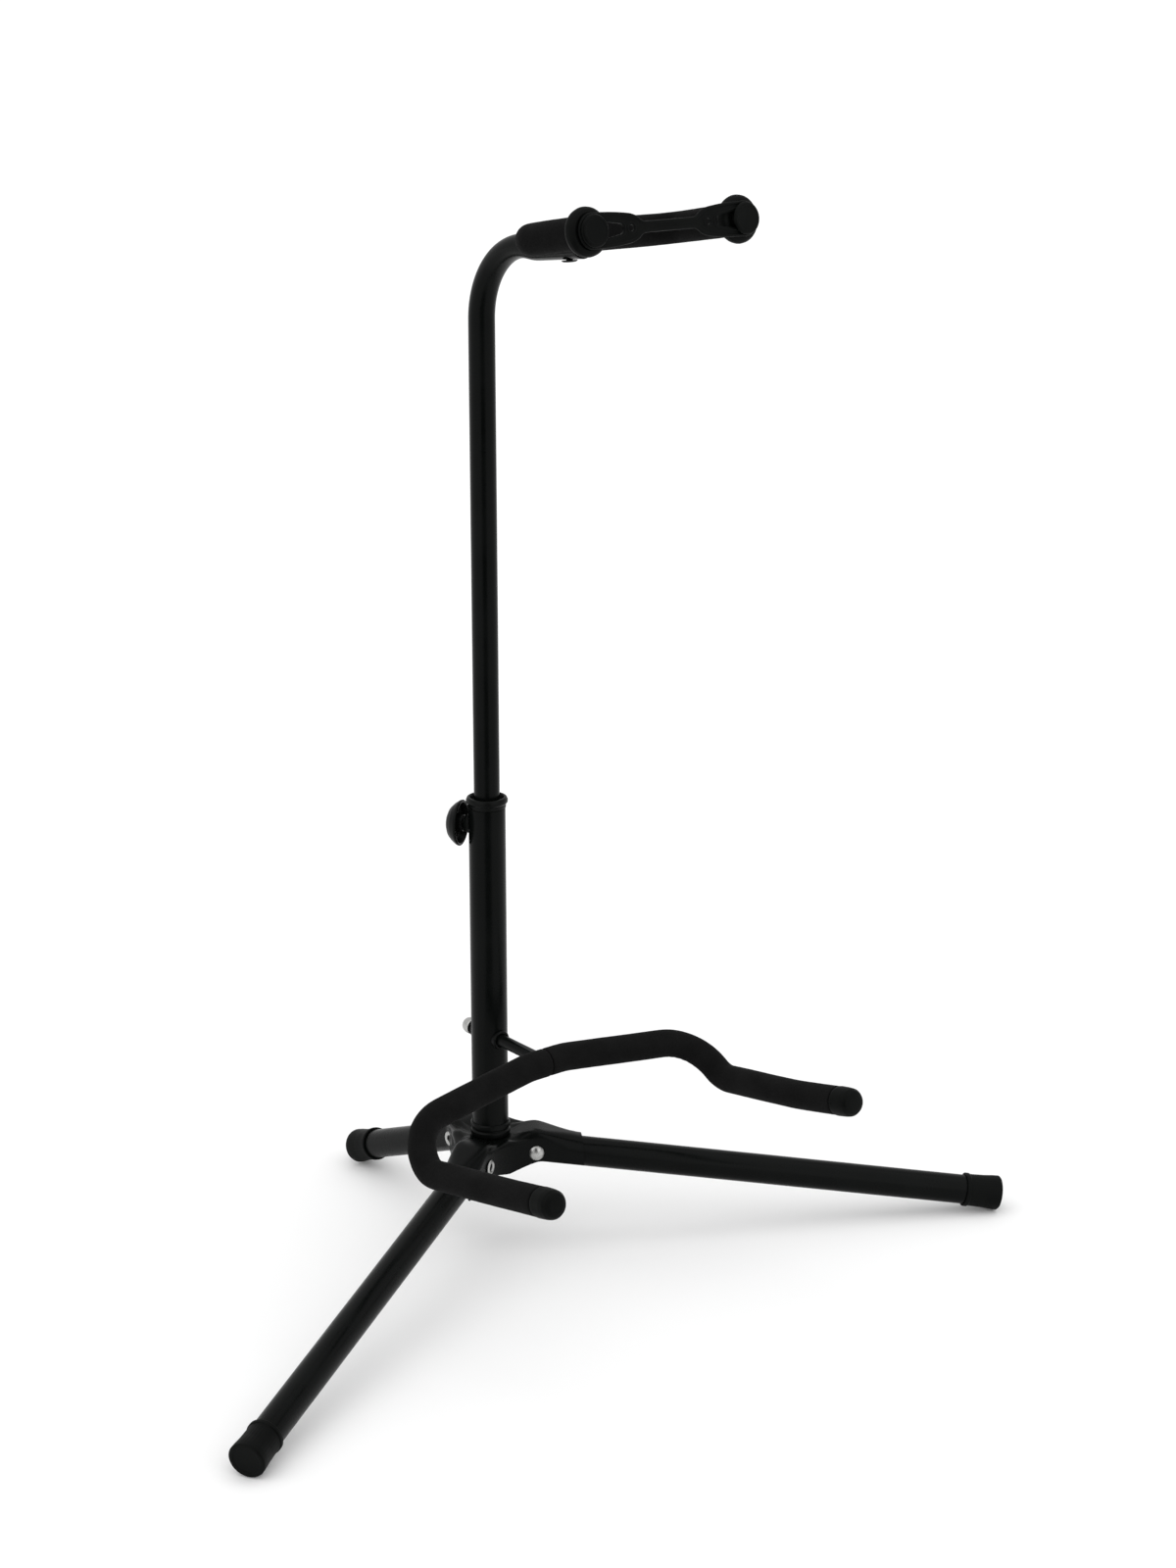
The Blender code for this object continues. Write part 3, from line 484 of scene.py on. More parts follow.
def sweep(path, outer, inner=0.0, seg=48, ease=0.0, inner_every=1):
    """Bar or tube along a path, its cut ends rounded by ease.

    outer is a radius, or a function of (distance along, centre point, outward direction).
    """
    points = [Vector(p) for p in path]
    frames, run = turned_frames(points), distances(points)
    if ease > 0.0:
        turns = [math.radians(90.0 * k / EASE_STEPS) for k in range(EASE_STEPS + 1)]
        offs = [(ease * (1.0 - math.cos(t)), ease * (1.0 - math.sin(t))) for t in turns]
        clear = ease * 1.2
        stations = [(points[0] + frames[0][0] * d, frames[0], d, cut) for d, cut in offs]
        keep = [k for k in range(1, len(points) - 1) if clear < run[k] < run[-1] - clear]
        stations += [(points[k], frames[k], run[k], 0.0) for k in keep]
        stations += [(points[-1] - frames[-1][0] * d, frames[-1], run[-1] - d, cut)
                     for d, cut in reversed(offs)]
    else:
        stations = [(points[k], frames[k], run[k], 0.0) for k in range(len(points))]
    bm = bmesh.new()
    skins = []
    for is_outer in ((True, False) if inner > 0.0 else (True,)):
        last = len(stations) - 1
        chosen = [k for k in range(last + 1) if is_outer or k in (0, last) or k % inner_every == 0]
        rings = []
        for k in chosen:
            center, (_, x, y), s, cut = stations[k]
            ring = []
            for a in even_angles(seg):
                out = x * math.cos(a) + y * math.sin(a)
                r = inner
                if is_outer:
                    r = (outer(s, center, out) if callable(outer) else outer) - cut
                ring.append(bm.verts.new(center + out * r))
            rings.append(ring)
        for a, b in zip(rings, rings[1:]):
            bridge(bm, a, b)
        skins.append(rings)
    for end in (0, -1):
        if len(skins) == 2:
            bridge(bm, skins[0][end], skins[1][end])
        else:
            bm.faces.new(skins[0][end])
    return bm


def bead(loop, radius, seg=10):
    """Closed round bead along a closed loop of points."""
    bm = bmesh.new()
    count = len(loop)
    rings = []
    for k in range(count):
        tangent = (loop[(k + 1) % count] - loop[k - 1]).normalized()
        up = Vector((0.0, 0.0, 1.0))
        side = tangent.cross(up).normalized()
        ring = []
        for a in even_angles(seg):
            across, rise = radius * math.cos(a), radius * math.sin(a)
            ring.append(bm.verts.new(loop[k] + side * across + up * rise))
        rings.append(ring)
    for a, b in zip(rings, rings[1:] + rings[:1]):
        bridge(bm, a, b)
    return bm


def prism(loop, z0, z1):
    """Flat closed outline of (x, y) points raised from z0 to z1."""
    bm = bmesh.new()
    low = [bm.verts.new((x, y, z0)) for x, y in loop]
    high = [bm.verts.new((x, y, z1)) for x, y in loop]
    bm.faces.new(low)
    bm.faces.new(high)
    bridge(bm, low, high)
    return bm


# ---------------------------------------------------------------- hub and legs

def leg_axes(azimuth, reach):
    """Pivot point, outward leg direction, rivet direction, length and slope of one leg."""
    a = math.radians(azimuth)
    out = Vector((math.cos(a), math.sin(a), 0.0))
    pivot = out * PIVOT_R + Vector((0.0, 0.0, PIVOT_Z))
    slope = 0.0
    for _ in range(5):
        slope = math.atan2(PIVOT_Z - FOOT_R * math.cos(slope), reach - PIVOT_R)
    along = out * math.cos(slope) - Vector((0.0, 0.0, math.sin(slope)))
    across = Vector((math.sin(a), -math.cos(a), 0.0))
    return pivot, along, across, (reach - PIVOT_R) / math.cos(slope), slope


def ridge(u, slope):
    """Height of an arm's crest above the floor at distance u from the mast axis."""
    leg_top = PIVOT_Z - (HUB_ARM - PIVOT_R) * math.tan(slope) + LEG_D / 2.0 / math.cos(slope)
    tip = leg_top + HUB_WALL + GAP
    marks = ((0.0, HUB_TOP), (HUB_PLATE_R, HUB_TOP), (HUB_RISE_AT, HUB_TOP + HUB_RISE),
             (HUB_PEAK_AT, HUB_PEAK), (HUB_ARM, tip))
    for (u0, z0), (u1, z1) in zip(marks, marks[1:]):
        if u <= u1:
            return z0 + (z1 - z0) * (u - u0) / (u1 - u0)
    return marks[-1][1]


def soft_ridge(u, slope):
    """The crest with its corners eased, as the pressed sheet has them."""
    if u < HUB_FLAT_R:
        return HUB_TOP
    return sum(ridge(u + d, slope) for d in CREST_EASE) / len(CREST_EASE)


def shoulder(u):
    """Edge radius of an arm: tight and boxy by the mast, wrapped round the leg further out."""
    t = min(1.0, max(0.0, (u - HUB_BOXY_TO) / (HUB_ROUND_FROM - HUB_BOXY_TO)))
    return HUB_EDGE_NEAR + (HUB_EDGE_R - HUB_EDGE_NEAR) * t * t * (3.0 - 2.0 * t)


def rolled(inset, radius):
    """Drop of a rounded edge at a distance inset from its outside."""
    if inset >= radius:
        return 0.0
    return radius - math.sqrt(radius ** 2 - (radius - inset) ** 2)


def hub_outline():
    """Half an arm's edge, from the middle of its tip to the valley beside it.

    Each point is (u, v, lobe share, open end), with u outwards and v across the arm.
    """
    center_v = HUB_FLAT_FROM * math.tan(math.radians(60.0))
    arc_r = center_v - HUB_HALF
    tip = (0.0, 0.15, 0.3, 0.45, 0.6, 0.73, 0.84, 0.92, 0.97)
    half = [(HUB_ARM, HUB_HALF * t, 0.0, True) for t in tip]
    side = [HUB_ARM - (HUB_ARM - HUB_FLAT_FROM) * k / 16.0 for k in range(17)]
    half += [(u, HUB_HALF, 0.0, False) for u in side]
    for k in range(1, 13):
        a = math.radians(-90.0 - 30.0 * k / 12.0)
        share = k / 12.0
        share = 0.5 * share + 0.5 * share * share * (3.0 - 2.0 * share)
        u, v = HUB_FLAT_FROM + arc_r * math.cos(a), center_v + arc_r * math.sin(a)
        half.append((u, v, share, False))
    return half


def hub_shell():
    """Pressed-steel cup with three channel arms, rolled along its top edges."""
    bm = bmesh.new()
    half = hub_outline()
    edge = []
    for name, azimuth, reach in LEGS:
        slope = leg_axes(azimuth, reach)[4]
        turn = Matrix.Rotation(math.radians(azimuth), 3, "Z")
        mirrored = [(u, -v, share, end) for u, v, share, end in reversed(half[:-1]) if v > 0.0]
        for u, v, share, end in mirrored + half:
            to_front = (name == "left" and v > 0.0) or (name == "right" and v < 0.0)
            full = 0.0 if to_front else share ** REAR_LOBE_POWER
            grow = 1.0 + REAR_LOBE_OUT * full
            edge.append((turn, slope, u * grow, v * grow, share, end, REAR_LOBE_UP * full))
    scales = [0.10, 0.18, 0.225, 0.27, 0.315, 0.36, 0.405, 0.45, 0.495, 0.54, 0.60, 0.66, 0.71]
    scales += [0.76, 0.80, 0.84, 0.87, 0.90, 0.925, 0.945, 0.962, 0.976, 0.987, 0.995, 1.0]
    top = bm.verts.new((0.0, 0.0, HUB_TOP))
    rings = []
    for s in scales:
        ring = []
        for turn, slope, u, v, share, _, lift in edge:
            inset = HUB_HALF - min(abs(v) * s, HUB_HALF)
            lobe_in = (1.0 - s) * math.hypot(u, v)
            drop = rolled(inset, shoulder(u * s)) * (1.0 - share)
            drop += rolled(lobe_in, LOBE_EDGE_R) * share
            level = soft_ridge(u * s, slope) * (1.0 - share) + HUB_TOP * share
            past_plate = s * math.hypot(u, v) - HUB_PLATE_R
            level += lift * min(1.0, max(0.0, past_plate / LOBE_RISE_RUN))
            spot = turn @ Vector((u * s, v * s, 0.0))
            ring.append(bm.verts.new((spot.x, spot.y, level - drop)))
        rings.append(ring)
    count = len(edge)
    for share_down in (0.15, 0.4, 0.7, 1.0):
        ring = []
        for i, (_, slope, u, _, share, _, _) in enumerate(edge):
            p = rings[len(scales) - 1][i].co
            slant = max(0.0, u - SKIRT_SLOPE_FROM) * math.tan(slope)
            low = HUB_SKIRT - HUB_LOBE_DIP * share - slant
            ring.append(bm.verts.new((p.x, p.y, p.z + (low - p.z) * share_down)))
        rings.append(ring)
    for i in range(count):
        j = (i + 1) % count
        bm.faces.new((top, rings[0][i], rings[0][j]))
        for k in range(len(rings) - 1):
            if k >= len(scales) - 1 and (edge[i][5] or edge[j][5]):
                continue  # the arm's end stays open for its leg
            a, b = rings[k], rings[k + 1]
            bm.faces.new((a[i], b[i], b[j], a[j]))
    for vert in [v for v in bm.verts if not v.link_faces]:
        bm.verts.remove(vert)
    obj = piece("hub_shell", bm, PAINT, "hub_bracket", HUB_SHARP)
    wall = obj.modifiers.new("wall", "SOLIDIFY")
    wall.thickness, wall.offset, wall.use_even_offset = HUB_WALL, -1.0, True
    apply_all(obj)
    shade(obj.data, HUB_SHARP)


def leg_tube(name, azimuth, reach):
    pivot, along, across, length, _ = leg_axes(azimuth, reach)
    ends = [pivot - along * LEG_TAIL, pivot + along * (length - FOOT_END - GAP)]
    outer = LEG_D / 2.0
    bm = sweep(resample(ends, 0.012), outer, outer - LEG_WALL, seg=72, ease=TUBE_EASE)
    obj = piece("leg_tube_" + name, bm, PAINT, "leg_" + name)
    reach_out = across * BORE_REACH
    carve(obj, rod(RIVET_D / 2.0 + GAP, pivot - reach_out, pivot + reach_out))


def foot_cap(name, azimuth, reach):
    """Moulded rubber ferrule: mouth bead, fine lengthwise flutes and a flared, eased sole."""
    pivot, along, _, length, _ = leg_axes(azimuth, reach)
    bore, mouth = LEG_D / 2.0 + GAP, -FOOT_LEN
    outline = [(bore, mouth, 0.0002), (bore + 0.0012, mouth, 0.0006),
               (bore + 0.0012, mouth + 0.0026, 0.0008), (bore + 0.0006, mouth + 0.0033, 0.0005),
               (bore + 0.0006, -0.0180), (bore + 0.0007, -0.0150), (bore + 0.0008, -0.0110, 0.004),
               (FOOT_R - 0.0001, -0.0045, 0.003), (FOOT_R, -0.0010, 0.0006),
               (FOOT_R - 0.0009, 0.0, 0.0006), (FOOT_R - 0.0028, 0.0, 0.0002),
               (FOOT_R - 0.0031, -0.0003, 0.0002), (0.0, -0.0003), (0.0, -FOOT_END),
               (bore, -FOOT_END)]

    def flutes(r, z, a):
        if r <= bore + 0.0003:
            return r
        fade = max(0.0, min(1.0, (z - mouth - 0.0035) / FLUTE_FADE, (-0.0035 - z) / FLUTE_FADE))
        return r - FLUTE_DEPTH * fade * (1.0 + math.cos(FLUTES * a))

    bm = lathe(outline, frame_to(pivot + along * length, along), 144, flutes)
    piece("foot_cap_" + name, bm, RUBBER, "foot_" + name)


def rivet(name, azimuth, reach):
    """Domed head on one side of the channel, rolled hollow end on the other."""
    pivot, _, across, _, _ = leg_axes(azimuth, reach)
    wall, r, h = HUB_HALF + GAP, RIVET_D / 2.0, RIVET_HEAD_D / 2.0
    outline = [(0.0, wall + 0.0030), (h * 0.26, wall + 0.00292), (h * 0.48, wall + 0.00265),
               (h * 0.68, wall + 0.0021), (h * 0.84, wall + 0.0014),
               (h * 0.95, wall + 0.0006, 0.0004), (h * 0.97, wall, 0.0002), (r, wall), (r, -wall),
               (r + 0.0018, -wall, 0.0003), (r + 0.0020, -wall - 0.0008, 0.0006),
               (r + 0.0008, -wall - 0.0015, 0.0006),
               (r - 0.0007, -wall - 0.0010, 0.0006), (r - 0.0009, -wall + 0.0060, 0.0003),
               (0.0, -wall + 0.0060)]
    bm = lathe(outline, frame_to(pivot, across), 56)
    piece("rivet_head_" + name, bm, PLATED, "rivet_" + name)


# ---------------------------------------------------------------- masts and lock

def upright_rod(radius, middle_z):
    """Cutter on the mast axis, for fittings that sit against the lower tube."""
    ends = (0.0, 0.0, middle_z - BORE_REACH), (0.0, 0.0, middle_z + BORE_REACH)
    return rod(radius, *ends, 96)


def lower_mast():
    path = resample([Vector((0.0, 0.0, HUB_TOP + GAP)), Vector((0.0, 0.0, LOWER_TOP))], 0.012)
    bm = sweep(path, LOWER_D / 2.0, LOWER_D / 2.0 - LOWER_WALL, seg=96, ease=TUBE_EASE)
    obj = piece("lower_mast", bm, PAINT, "lower_tube")
    ends = (0.0, -BORE_REACH, STEM_Z), (0.0, BORE_REACH, STEM_Z)
    carve(obj, rod(STEM_D / 2.0 + GAP, *ends))
    carve(obj, rod(LOCK_BORE_R, lock_point(0.005), lock_point(BORE_REACH)))


def collar_ring():
    """Two-ridged trim ring round the foot of the lower tube."""
    bore, r, low = LOWER_D / 2.0 + GAP, COLLAR_D / 2.0, HUB_TOP + 0.0005
    outline = [(bore, low), (r - 0.0008, low, 0.0003), (r - 0.0002, low + 0.0008, 0.0006),
               (r, low + 0.0034, 0.0009), (r - 0.0010, low + 0.0043, 0.0004),
               (r - 0.0010, low + 0.0049, 0.0004), (r - 0.0001, low + 0.0057, 0.0007),
               (r - 0.0002, low + 0.0082, 0.0009), (r - 0.0009, low + 0.0091, 0.0004),
               (bore, low + 0.0091)]
    piece("collar_ring", lathe(outline, seg=96), PLASTIC, "base_collar")


def bush_ring():
    """Guide bush: a rolled lip over the lower tube's mouth with a sunk throat round the mast."""
    bore, sleeve = UPPER_D / 2.0 + GAP, LOWER_D / 2.0 - LOWER_WALL - GAP
    base, r = LOWER_TOP + GAP, LIP_D / 2.0
    outline = [(bore, base - 0.0072), (sleeve, base - 0.0072), (sleeve, base),
               (r - 0.0012, base, 0.0003), (r - 0.0010, base + 0.0026, 0.0008),
               (r, base + 0.0036, 0.0008), (r, base + 0.0052, 0.0014),
               (r - 0.0008, base + 0.0068, 0.0010), (r - 0.0022, base + 0.0071, 0.0008),
               (bore + 0.0022, base + 0.0062, 0.0008), (bore + 0.0014, base + 0.0040, 0.0010),
               (bore, base + 0.0026, 0.0003)]
    piece("bush_ring", lathe(outline, seg=96), PLASTIC, "top_bush")


def lock_axis():
    return Vector((math.cos(LOCK_AZIMUTH), math.sin(LOCK_AZIMUTH), 0.0))


def lock_point(distance):
    return lock_axis() * distance + Vector((0.0, 0.0, LOCK_Z))


def lock_parts():
    """Welded boss, threaded screw, and the dished hand knob with its hollow towards the mast."""
    axis = frame_to(lock_point(0.0), lock_axis())
    outline = [(LOCK_BORE_R, 0.009), (0.0064, 0.009), (0.0060, 0.0126, 0.001),
               (0.0058, 0.0145, 0.0006), (LOCK_BORE_R, 0.0145)]
    boss = piece("lock_boss", lathe(outline, axis, 48), PAINT, "clamp_boss")
    carve(boss, upright_rod(LOWER_D / 2.0 + GAP, LOCK_Z))
    tip = UPPER_D / 2.0 + GAP
    outline = [(0.0, tip), (0.0022, tip, 0.0002), (0.0029, tip + 0.0008)]
    for k in range(int((0.0222 - tip - 0.0008) / THREAD_PITCH)):
        z = tip + 0.0010 + THREAD_PITCH * k
        outline += [(THREAD_ROOT_R, z), (THREAD_CREST_R, z + THREAD_PITCH * 0.45),
                    (THREAD_CREST_R, z + THREAD_PITCH * 0.55)]
    outline += [(THREAD_ROOT_R, LOCK_STUD_END), (0.0, LOCK_STUD_END)]
    piece("lock_stud", lathe(outline, axis, 40), PLATED, "lock_screw")
    y0, y1, r = KNOB_IN, KNOB_OUT, KNOB_R
    outline = [(LOCK_BORE_R, y0 - 0.0012), (0.0053, y0 - 0.0012, 0.0004), (0.0057, y0 + 0.0010),
               (0.0061, y0 + 0.0052, 0.0008), (r - 0.0030, y0 + 0.0052, 0.0012),
               (r - 0.0019, y0 + 0.0006, 0.0004), (r - 0.0012, y0, 0.0006),
               (r, y0 + 0.0006, 0.0005), (r - 0.0003, y0 + 0.0018, 0.0010),
               (r - 0.0022, y0 + 0.0046, 0.0050),
               (r - 0.0052, y0 + 0.0076, 0.0050), (r - 0.0092, y1 - 0.0003, 0.0040), (0.0, y1),
               (0.0, KNOB_SOCKET_END), (LOCK_BORE_R, KNOB_SOCKET_END)]
    piece("hand_knob", lathe(outline, axis, 96), PLASTIC, "lock_knob")


def head_point(run):
    """Point on the upper tube's forward line, run metres from its corner."""
    return Vector((0.0, -run * math.cos(HEAD_TILT), BEND_CORNER_Z + run * math.sin(HEAD_TILT)))


def flatten_bend(bm):
    """Pull in the inner side of the bend, and let it fade out over the straight after it."""
    turn = math.radians(90.0) - HEAD_TILT
    reach = BEND_R * math.tan(turn / 2.0)
    over = Vector((0.0, math.sin(HEAD_TILT), math.cos(HEAD_TILT)))
    ahead = Vector((0.0, -math.cos(HEAD_TILT), math.sin(HEAD_TILT)))
    corner = head_point(0.0)
    for vert in bm.verts:
        y, z = vert.co.y + BEND_R, vert.co.z - BEND_CORNER_Z + reach
        past = ahead.dot(vert.co - corner) - reach
        if z > 0.0 and past <= 0.0:
            share = math.sin(min(1.0, math.atan2(z, y) / turn) * math.pi / 2.0)
            radial = math.hypot(y, z)
            pull = max(0.0, BEND_R - radial) * BEND_FLAT * share
            vert.co.y += y / radial * pull
            vert.co.z += z / radial * pull
        elif z > 0.0 and past < BEND_FADE:
            below = max(0.0, -over.dot(vert.co - corner))
            share = 0.5 + 0.5 * math.cos(math.pi * past / BEND_FADE)
            vert.co += over * (below * BEND_FLAT * share)


def upper_mast():
    points = [(0.0, 0.0, UPPER_FOOT_Z), (0.0, 0.0, BEND_CORNER_Z), head_point(HEAD_RUN)]
    path = bend(points, [BEND_R], math.radians(1.5))
    straight = resample(path[:2], 0.014)
    ahead = resample(path[-2:], 0.0035)
    line, outer = straight[:-1] + path[1:-1] + ahead[1:], UPPER_D / 2.0
    bm = sweep(line, outer, outer - UPPER_WALL, seg=72, ease=TUBE_EASE)
    flatten_bend(bm)
    obj = piece("upper_mast", bm, PAINT, "upper_tube")
    origin = head_point(YOKE_SCREW_RUN)
    down = Vector((0.0, -math.sin(HEAD_TILT), -math.cos(HEAD_TILT)))
    carve(obj, rod(YOKE_SCREW_BORE_R, origin, origin + down * BORE_REACH))
    seat = UPPER_D / 2.0 + GAP
    outline = [(0.0, 0.0006), (YOKE_SCREW_R, 0.0006), (YOKE_SCREW_R, seat), (0.0048, seat, 0.0002),
               (0.0047, seat + 0.0005, 0.0004), (0.0036, seat + 0.0011, 0.0006),
               (0.0014, seat + 0.0013, 0.0002), (0.0014, seat + 0.0005, 0.0001),
               (0.0, seat + 0.0003)]
    piece("screw_head", lathe(outline, frame_to(origin, down), 48), PLASTIC, "yoke_screw")


# ---------------------------------------------------------------- neck yoke

def yoke_matrix():
    rot = Matrix(((1.0, 0.0, 0.0), (0.0, math.sin(YOKE_TILT), math.cos(YOKE_TILT)),
                  (0.0, -math.cos(YOKE_TILT), math.sin(YOKE_TILT))))
    return Matrix.Translation(YOKE_AT) @ rot.transposed().to_4x4()


def foam_skin(radius, seed, corners):
    """Radius of a foam sleeve: slow unevenness, fine dimples and creases inside its corners."""
    def outer(s, center, out):
        p = center + out * radius
        slow = noise.noise(p * 34.0 + Vector((seed, 0.0, 0.0)))
        fine = noise.noise(p * 260.0 + Vector((0.0, seed, 0.0)))
        r = radius + FOAM_SLOW * slow + FOAM_FINE * fine
        for mark, inward, width in corners:
            near = math.exp(-((s - mark) / width) ** 2)
            inside = max(0.0, out.dot(inward))
            crease = 0.5 + 0.5 * math.cos(2.0 * math.pi * (s - mark) / CREASE_PITCH)
            r -= near * inside * inside * (CREASE_BASE + CREASE_DEPTH * crease ** 3)
            r -= near * STRETCH_THIN * (1.0 - inside)
        return r
    return outer


def corner_marks(path):
    """Bends of a line as (distance to the middle, direction to the inside, half width)."""
    frames, run, marks = turned_frames(path), distances(path), []
    for k in range(2, len(path) - 2):
        turn = frames[k + 2][0] - frames[k - 2][0]
        rate = turn.length / max(run[k + 2] - run[k - 2], 1e-9)
        if rate <= BENT_FROM:
            continue
        if not marks or run[k] - marks[-1]["start"] > BEND_APART:
            marks.append({"start": run[k], "rate": 0.0})
        mark = marks[-1]
        mark["end"] = run[k]
        if rate >= mark["rate"]:
            mark["inward"], mark["rate"] = turn.normalized(), rate
    return [((m["start"] + m["end"]) / 2.0, m["inward"],
             max(BEND_HALF_MIN, (m["end"] - m["start"]) * 0.5)) for m in marks]


def yoke_foams():
    length = ARM_LEN - GAP
    for name, side in SIDES:
        points = [(side * HALF_SPLIT, 0.0, 0.0), (side * YOKE_HALF, 0.0, 0.0),
                  (side * YOKE_HALF, 0.0, length)]
        path = resample([yoke_matrix() @ p for p in bend(points, [YOKE_CORNER])], 0.0013)
        skin = foam_skin(YOKE_FOAM_D / 2.0, 3.0 + side, corner_marks(path))
        bm = sweep(path, skin, YOKE_ROD_D / 2.0 + GAP, seg=64, ease=0.0014, inner_every=4)
        # The yoke sleeves wear the foam copy that is darkened with painted shade.
        obj = piece("yoke_sleeve_" + name, bm, FOAM_PAINTED_SHADE, "yoke_foam_" + name, FOAM_SHARP)
        ends = head_point(YOKE_PEG_FROM), head_point(YOKE_PEG_TO)
        peg = rod(UPPER_D / 2.0 - UPPER_WALL, *ends, 48)
        carve(obj, peg, FOAM_SHARP)


def yoke_knobs():
    """Rubber end knobs: crisp back rim, domed flange, sunk ring, neck and flat front button."""
    for name, side in SIDES:
        base = yoke_matrix() @ Matrix.Translation((side * YOKE_HALF, 0.0, ARM_LEN))
        bore, R, f = YOKE_ROD_D / 2.0 + GAP, FLANGE_R, FLANGE_T
        n, b = f + NECK_LEN, f + NECK_LEN + BUTTON_T
        outline = [(bore, 0.0, 0.0002), (R - 0.0034, 0.0, 0.0004), (R - 0.0018, 0.0004, 0.0006),
                   (R - 0.0005, 0.0016, 0.0010), (R, 0.0034, 0.0014), (R - 0.0003, 0.0054, 0.0014),
                   (R - 0.0016, 0.0070, 0.0012), (R - 0.0032, f, 0.0008),
                   (R - 0.0044, f - 0.0002, 0.0005), (R - 0.0050, f - 0.0011, 0.0005),
                   (NECK_R + 0.0010, f - 0.0011, 0.0004), (NECK_R, f, 0.0004), (NECK_R, n, 0.0004),
                   (BUTTON_R - 0.0007, n, 0.0004), (BUTTON_R, n + 0.0006, 0.0005),
                   (BUTTON_R, n + 0.0014, 0.0006), (BUTTON_R - 0.0008, b - 0.0001, 0.0006),
                   (BUTTON_R - 0.0020, b, 0.0003), (BUTTON_R - 0.0023, b - 0.0002, 0.0002),
                   (0.0, b - 0.0002), (0.0, f - 0.0018), (bore, f - 0.0018)]
        piece("end_knob_" + name, lathe(outline, base, 84), RUBBER, "yoke_knob_" + name)


def strap_quarter():
    """Quarter outline of the strap, from its end past the button to the middle of the web."""
    pts = []
    for k in range(17):
        a = math.radians(90.0 * k / 16.0)
        pts.append((YOKE_HALF + STRAP_END_R * math.cos(a), STRAP_HALF * math.sin(a)))
    taper = ((YOKE_HALF, STRAP_HALF), (0.0400, 0.0096), (0.0294, 0.0085), (0.0257, 0.0078),
             (0.0225, 0.0064), (0.0204, 0.0047), (0.0187, WEB_HALF + 0.0004), (0.0168, WEB_HALF),
             (0.0, WEB_HALF))
    line = [Vector(p) for p in taper]
    for _ in range(2):
        smooth = [line[0]]
        for a, b in zip(line, line[1:]):
            smooth += [a.lerp(b, 0.25), a.lerp(b, 0.75)]
        line = smooth + [line[-1]]
    return pts + [tuple(p) for p in line[1:]]


def inset_loop(loop, distance):
    """Closed (x, y) loop moved inwards, for a loop that runs counter-clockwise."""
    out, count = [], len(loop)
    for k in range(count):
        a, b = Vector(loop[k - 1]), Vector(loop[(k + 1) % count])
        t = (b - a).normalized()
        out.append((loop[k][0] - t.y * distance, loop[k][1] + t.x * distance))
    return out


def slot_loop(side, grow=0.0):
    """Tapered keyhole: round at the button's neck, narrowing towards the web."""
    r, narrow, pts = NECK_R + GAP + grow, SLOT_END_R + grow, []
    for k in range(25):
        a = math.radians(-100.0 + 200.0 * k / 24.0)
        pts.append((side * (YOKE_HALF + r * math.cos(a)), r * math.sin(a)))
    for k in range(13):
        a = math.radians(90.0 + 180.0 * k / 12.0)
        pts.append((side * (SLOT_END_X + narrow * math.cos(a)), narrow * math.sin(a)))
    return pts


def circle(x, radius, count=28):
    return [(x + radius * math.cos(a), radius * math.sin(a)) for a in even_angles(count)]


def strap():
    """Moulded rubber strip: thin floor, raised beads round its edge, slots and eyelets."""
    quarter = strap_quarter()
    top = quarter + [(-x, y) for x, y in reversed(quarter[:-1])]
    loop = top + [(x, -y) for x, y in reversed(top[1:-1])]
    z0 = ARM_LEN + FLANGE_T + GAP
    mid = z0 + STRAP_T / 2.0
    bm = prism(inset_loop(loop, 0.0004), mid - STRAP_FLOOR, mid + STRAP_FLOOR)
    bm.transform(yoke_matrix())
    obj = piece("strap_rubber", bm, RUBBER, "security_strap", STRAP_SHARP)
    for _, side in SIDES:
        for hole in (slot_loop(side), circle(side * EYELET_X, EYELET_R)):
            tool = prism(hole, z0 - 0.002, z0 + 0.006)
            tool.transform(yoke_matrix())
            carve(obj, tool, STRAP_SHARP)
    rims = [(inset_loop(loop, STRAP_RIM_R), STRAP_RIM_R)]
    for _, side in SIDES:
        rims += [(slot_loop(side, SLOT_RIM_R), SLOT_RIM_R),
                 (circle(side * EYELET_X, 0.0028), SLOT_RIM_R)]
    for rim, radius in rims:
        ring = bead([Vector((x, y, mid)) for x, y in rim], radius, 12)
        ring.transform(yoke_matrix())
        boolean(obj, ring, "UNION", STRAP_SHARP)


# ---------------------------------------------------------------- body cradle

def cradle_half(side, start, tip_y):
    """Centreline of one cradle arm: across, down round the corner, forward along the prong."""
    points = [(side * start, CRADLE_Y, 0.0), (side * 0.014, CRADLE_Y, 0.0),
              (side * (CRADLE_HALF - 0.0053), CRADLE_Y - 0.0112, -0.0097),
              (side * CRADLE_HALF, CRADLE_Y - 0.0361, -0.0299),
              (side * PRONG_BELLY, CRADLE_Y - 0.1106, -0.0168)]
    dip = Vector(points[-1])
    tip = Vector((side * PRONG_HALF, PRONG_TIP_Y, -0.0056))
    points.append(dip.lerp(tip, (dip.y - tip_y) / (dip.y - PRONG_TIP_Y)))
    path = bend(points, [0.060, 0.0330, 0.0162, 0.120])
    place = Matrix.Translation((0.0, 0.0, STEM_Z)) @ Matrix.Rotation(CRADLE_ROLL, 4, "Y")
    return [place @ p for p in path]


def cradle_bar():
    left = cradle_half(-1.0, 0.0, PRONG_TIP_Y + 0.004)
    right = cradle_half(1.0, 0.0, PRONG_TIP_Y + 0.004)
    path = resample(list(reversed(left)) + right[1:], 0.004)
    obj = piece("cradle_bar", sweep(path, STEM_D / 2.0, seg=40), PAINT, "cradle_frame")
    stem = rod(STEM_D / 2.0 - 0.00002, (0.0, STEM_REAR, STEM_Z), (0.0, CRADLE_Y, STEM_Z), 56)
    boolean(obj, stem, "UNION")


